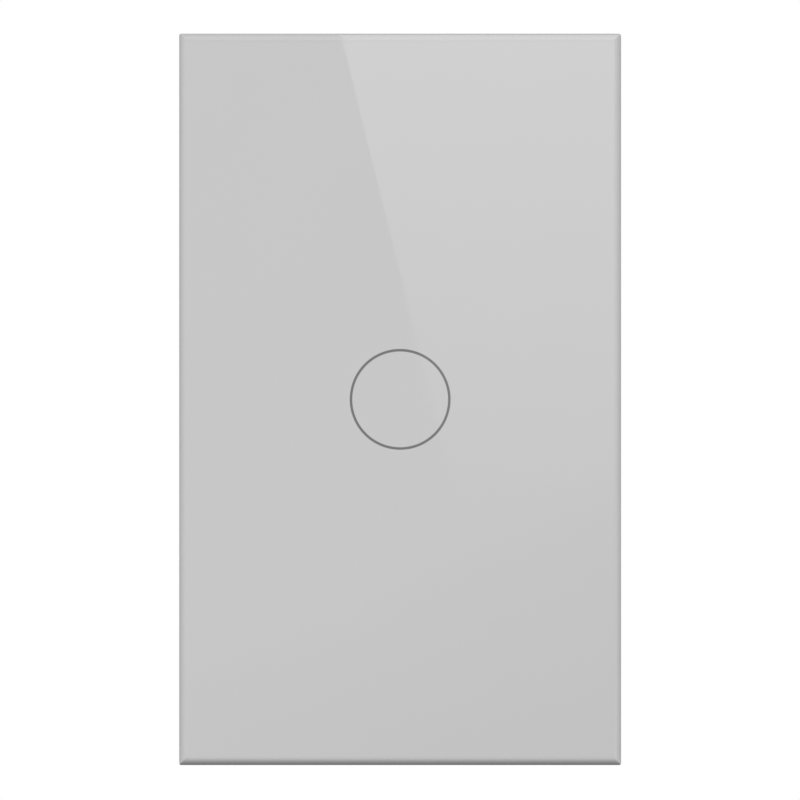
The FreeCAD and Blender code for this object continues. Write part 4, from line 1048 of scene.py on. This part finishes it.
for k in range(crown_steps + 1):
    inset = tape_sunk - tape_swell * math.sin(math.pi * k / crown_steps)
    wound_profile.append((inset, tape_low + (tape_high - tape_low) * k / crown_steps))
wound_profile += [
    (0.0, tape_high), (0.0, wound_rear), (spool_wall, wound_rear), (spool_wall, wound_front),
]
taped = ringed_plate("taped_winding", *wound_half, wound_corner, wound_profile, 40, open_middle=True)
taped.data.materials.append(yellow_tape)
taped.data.materials.append(spool_black)
bore_half = [half - spool_wall + hair for half in wound_half]
for face in taped.data.polygons:
    on_flange = not tape_low + hair < face.center.y < tape_high - hair
    in_bore = abs(face.center.x) < bore_half[0] and abs(face.center.z) < bore_half[1]
    face.material_index = 1 if on_flange or in_bore else 0
for vertex in taped.data.vertices:
    vertex.co.x += (core_low.x + core_high.x) / 2
    vertex.co.z += (core_low.z + core_high.z) / 2
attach(taped, "base")
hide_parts("transformer_winding")
shape = bmesh.new()
neck_low = wound_low.y + foot_thickness
for low, high in (
    ((wound_low.x, wound_low.y, wound_low.z), (wound_high.x, neck_low, wound_high.z)),
    ((core_low.x + leg, neck_low, core_high.z), (core_high.x - leg, wound_front, wound_high.z)),
    ((core_low.x + leg, neck_low, wound_low.z), (core_high.x - leg, wound_front, core_low.z)),
):
    corners = bmesh.ops.create_cube(shape, size=1.0)["verts"]
    for corner in corners:
        corner.co = [low[k] + (high[k] - low[k]) * (corner.co[k] + 0.5) for k in range(3)]
    sides = {edge for corner in corners for edge in corner.link_edges}
    bmesh.ops.bevel(
        shape, geom=list(sides), offset=foot_round, offset_type="OFFSET", segments=3,
        profile=0.5, affect="EDGES",
    )
smoothed(shape)
spool_foot = made_piece("spool_foot", shape, 40, spool_black)
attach(spool_foot, "base")


# Electrolytic capacitors: aluminium cans, crimped above the rubber bung, in a shrunk sleeve
# that laps over the rim and has a pale stripe down the negative side.
def shrunk_sleeve(name, place, radius):
    """Shiny film sleeve with its stripe on the side towards +X of that place."""
    material, tree, shader = new_finish(name, (0.02, 0.022, 0.035), 0.22, coat_weight=0.4)
    from_middle = mapped(tree, own_place(tree), Location=(-place.x, 0.0, 0.0))
    stripe = ramp(tree, part(tree, from_middle, "X"), radius * 0.925, radius * 0.93)
    grain = place_group(tree, spark_grain, grain_size=0.0009)
    tone = blended(tree, grain["Tone"], (0.018, 0.02, 0.032), (0.024, 0.027, 0.042))
    tree.links.new(blended(tree, stripe, tone, (0.4, 0.42, 0.46)), shader.inputs["Base Color"])
    bumped(tree, shader, grain["Height"], 0.2, 0.00002)
    return material


can_metal = metal("spun_can", (0.66, 0.66, 0.67), (0.56, 0.56, 0.57), roughness=0.3)
can_round = 0.0004
crimp_place = 0.0016
crimp_width = 0.0009
crimp_depth = 0.00035
lap_width = 0.0007
lap_thickness = 0.00012
for node in ("big_capacitor", "small_capacitor"):
    low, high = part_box(node)
    middle = (low + high) / 2
    radius = (high.x - low.x) / 2
    lap = radius - lap_width
    outline = [
        (0.0, low.y), (radius - can_round, low.y),
        (radius - can_round / 4, low.y + can_round / 4), (radius, low.y + can_round),
    ]
    for k in range(9):
        share = k / 8
        reach = radius - crimp_depth * math.sin(math.pi * share) ** 2
        outline.append((reach, low.y + crimp_place + crimp_width * (share - 0.5)))
    for k in range(5):
        turn = math.pi / 2 * k / 4
        reach = radius - can_round * (1 - math.cos(turn))
        outline.append((reach, high.y - can_round * (1 - math.sin(turn))))
    outline += [(lap, high.y), (lap, high.y - lap_thickness), (0.0, high.y - lap_thickness)]
    sleeve = shrunk_sleeve(node + "_sleeve", middle, radius)
    can = turned(node + "_can", outline, middle, [sleeve, can_metal])
    for face in can.data.polygons:
        on_top = face.center.y > high.y - can_round / 2
        in_lap = math.hypot(face.center.x - middle.x, face.center.z - middle.z) < lap
        face.material_index = 1 if on_top and in_lap else 0
    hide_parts(node)


# Mains parts: a film capacitor potted in a yellow box, a boxed fuse, and a disc varistor
# dipped in blue epoxy.
yellow_box = moulded("yellow_box", (0.72, 0.55, 0.09), roughness=0.35)
dipped = moulded("dipped_epoxy", (0.04, 0.1, 0.32), roughness=0.3, size=0.0006)
faired("safety_capacitor", "base", yellow_box, rounds=[(0.0005, everywhere)])
faired("fuse", "base", nylon, rounds=[(0.0004, everywhere)])
disc_low, disc_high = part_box("varistor")
faired(
    "varistor", "base", dipped,
    rounds=[(0.0009, lambda x, y, z: z > disc_high.z - hair or z < disc_low.z + hair)],
)
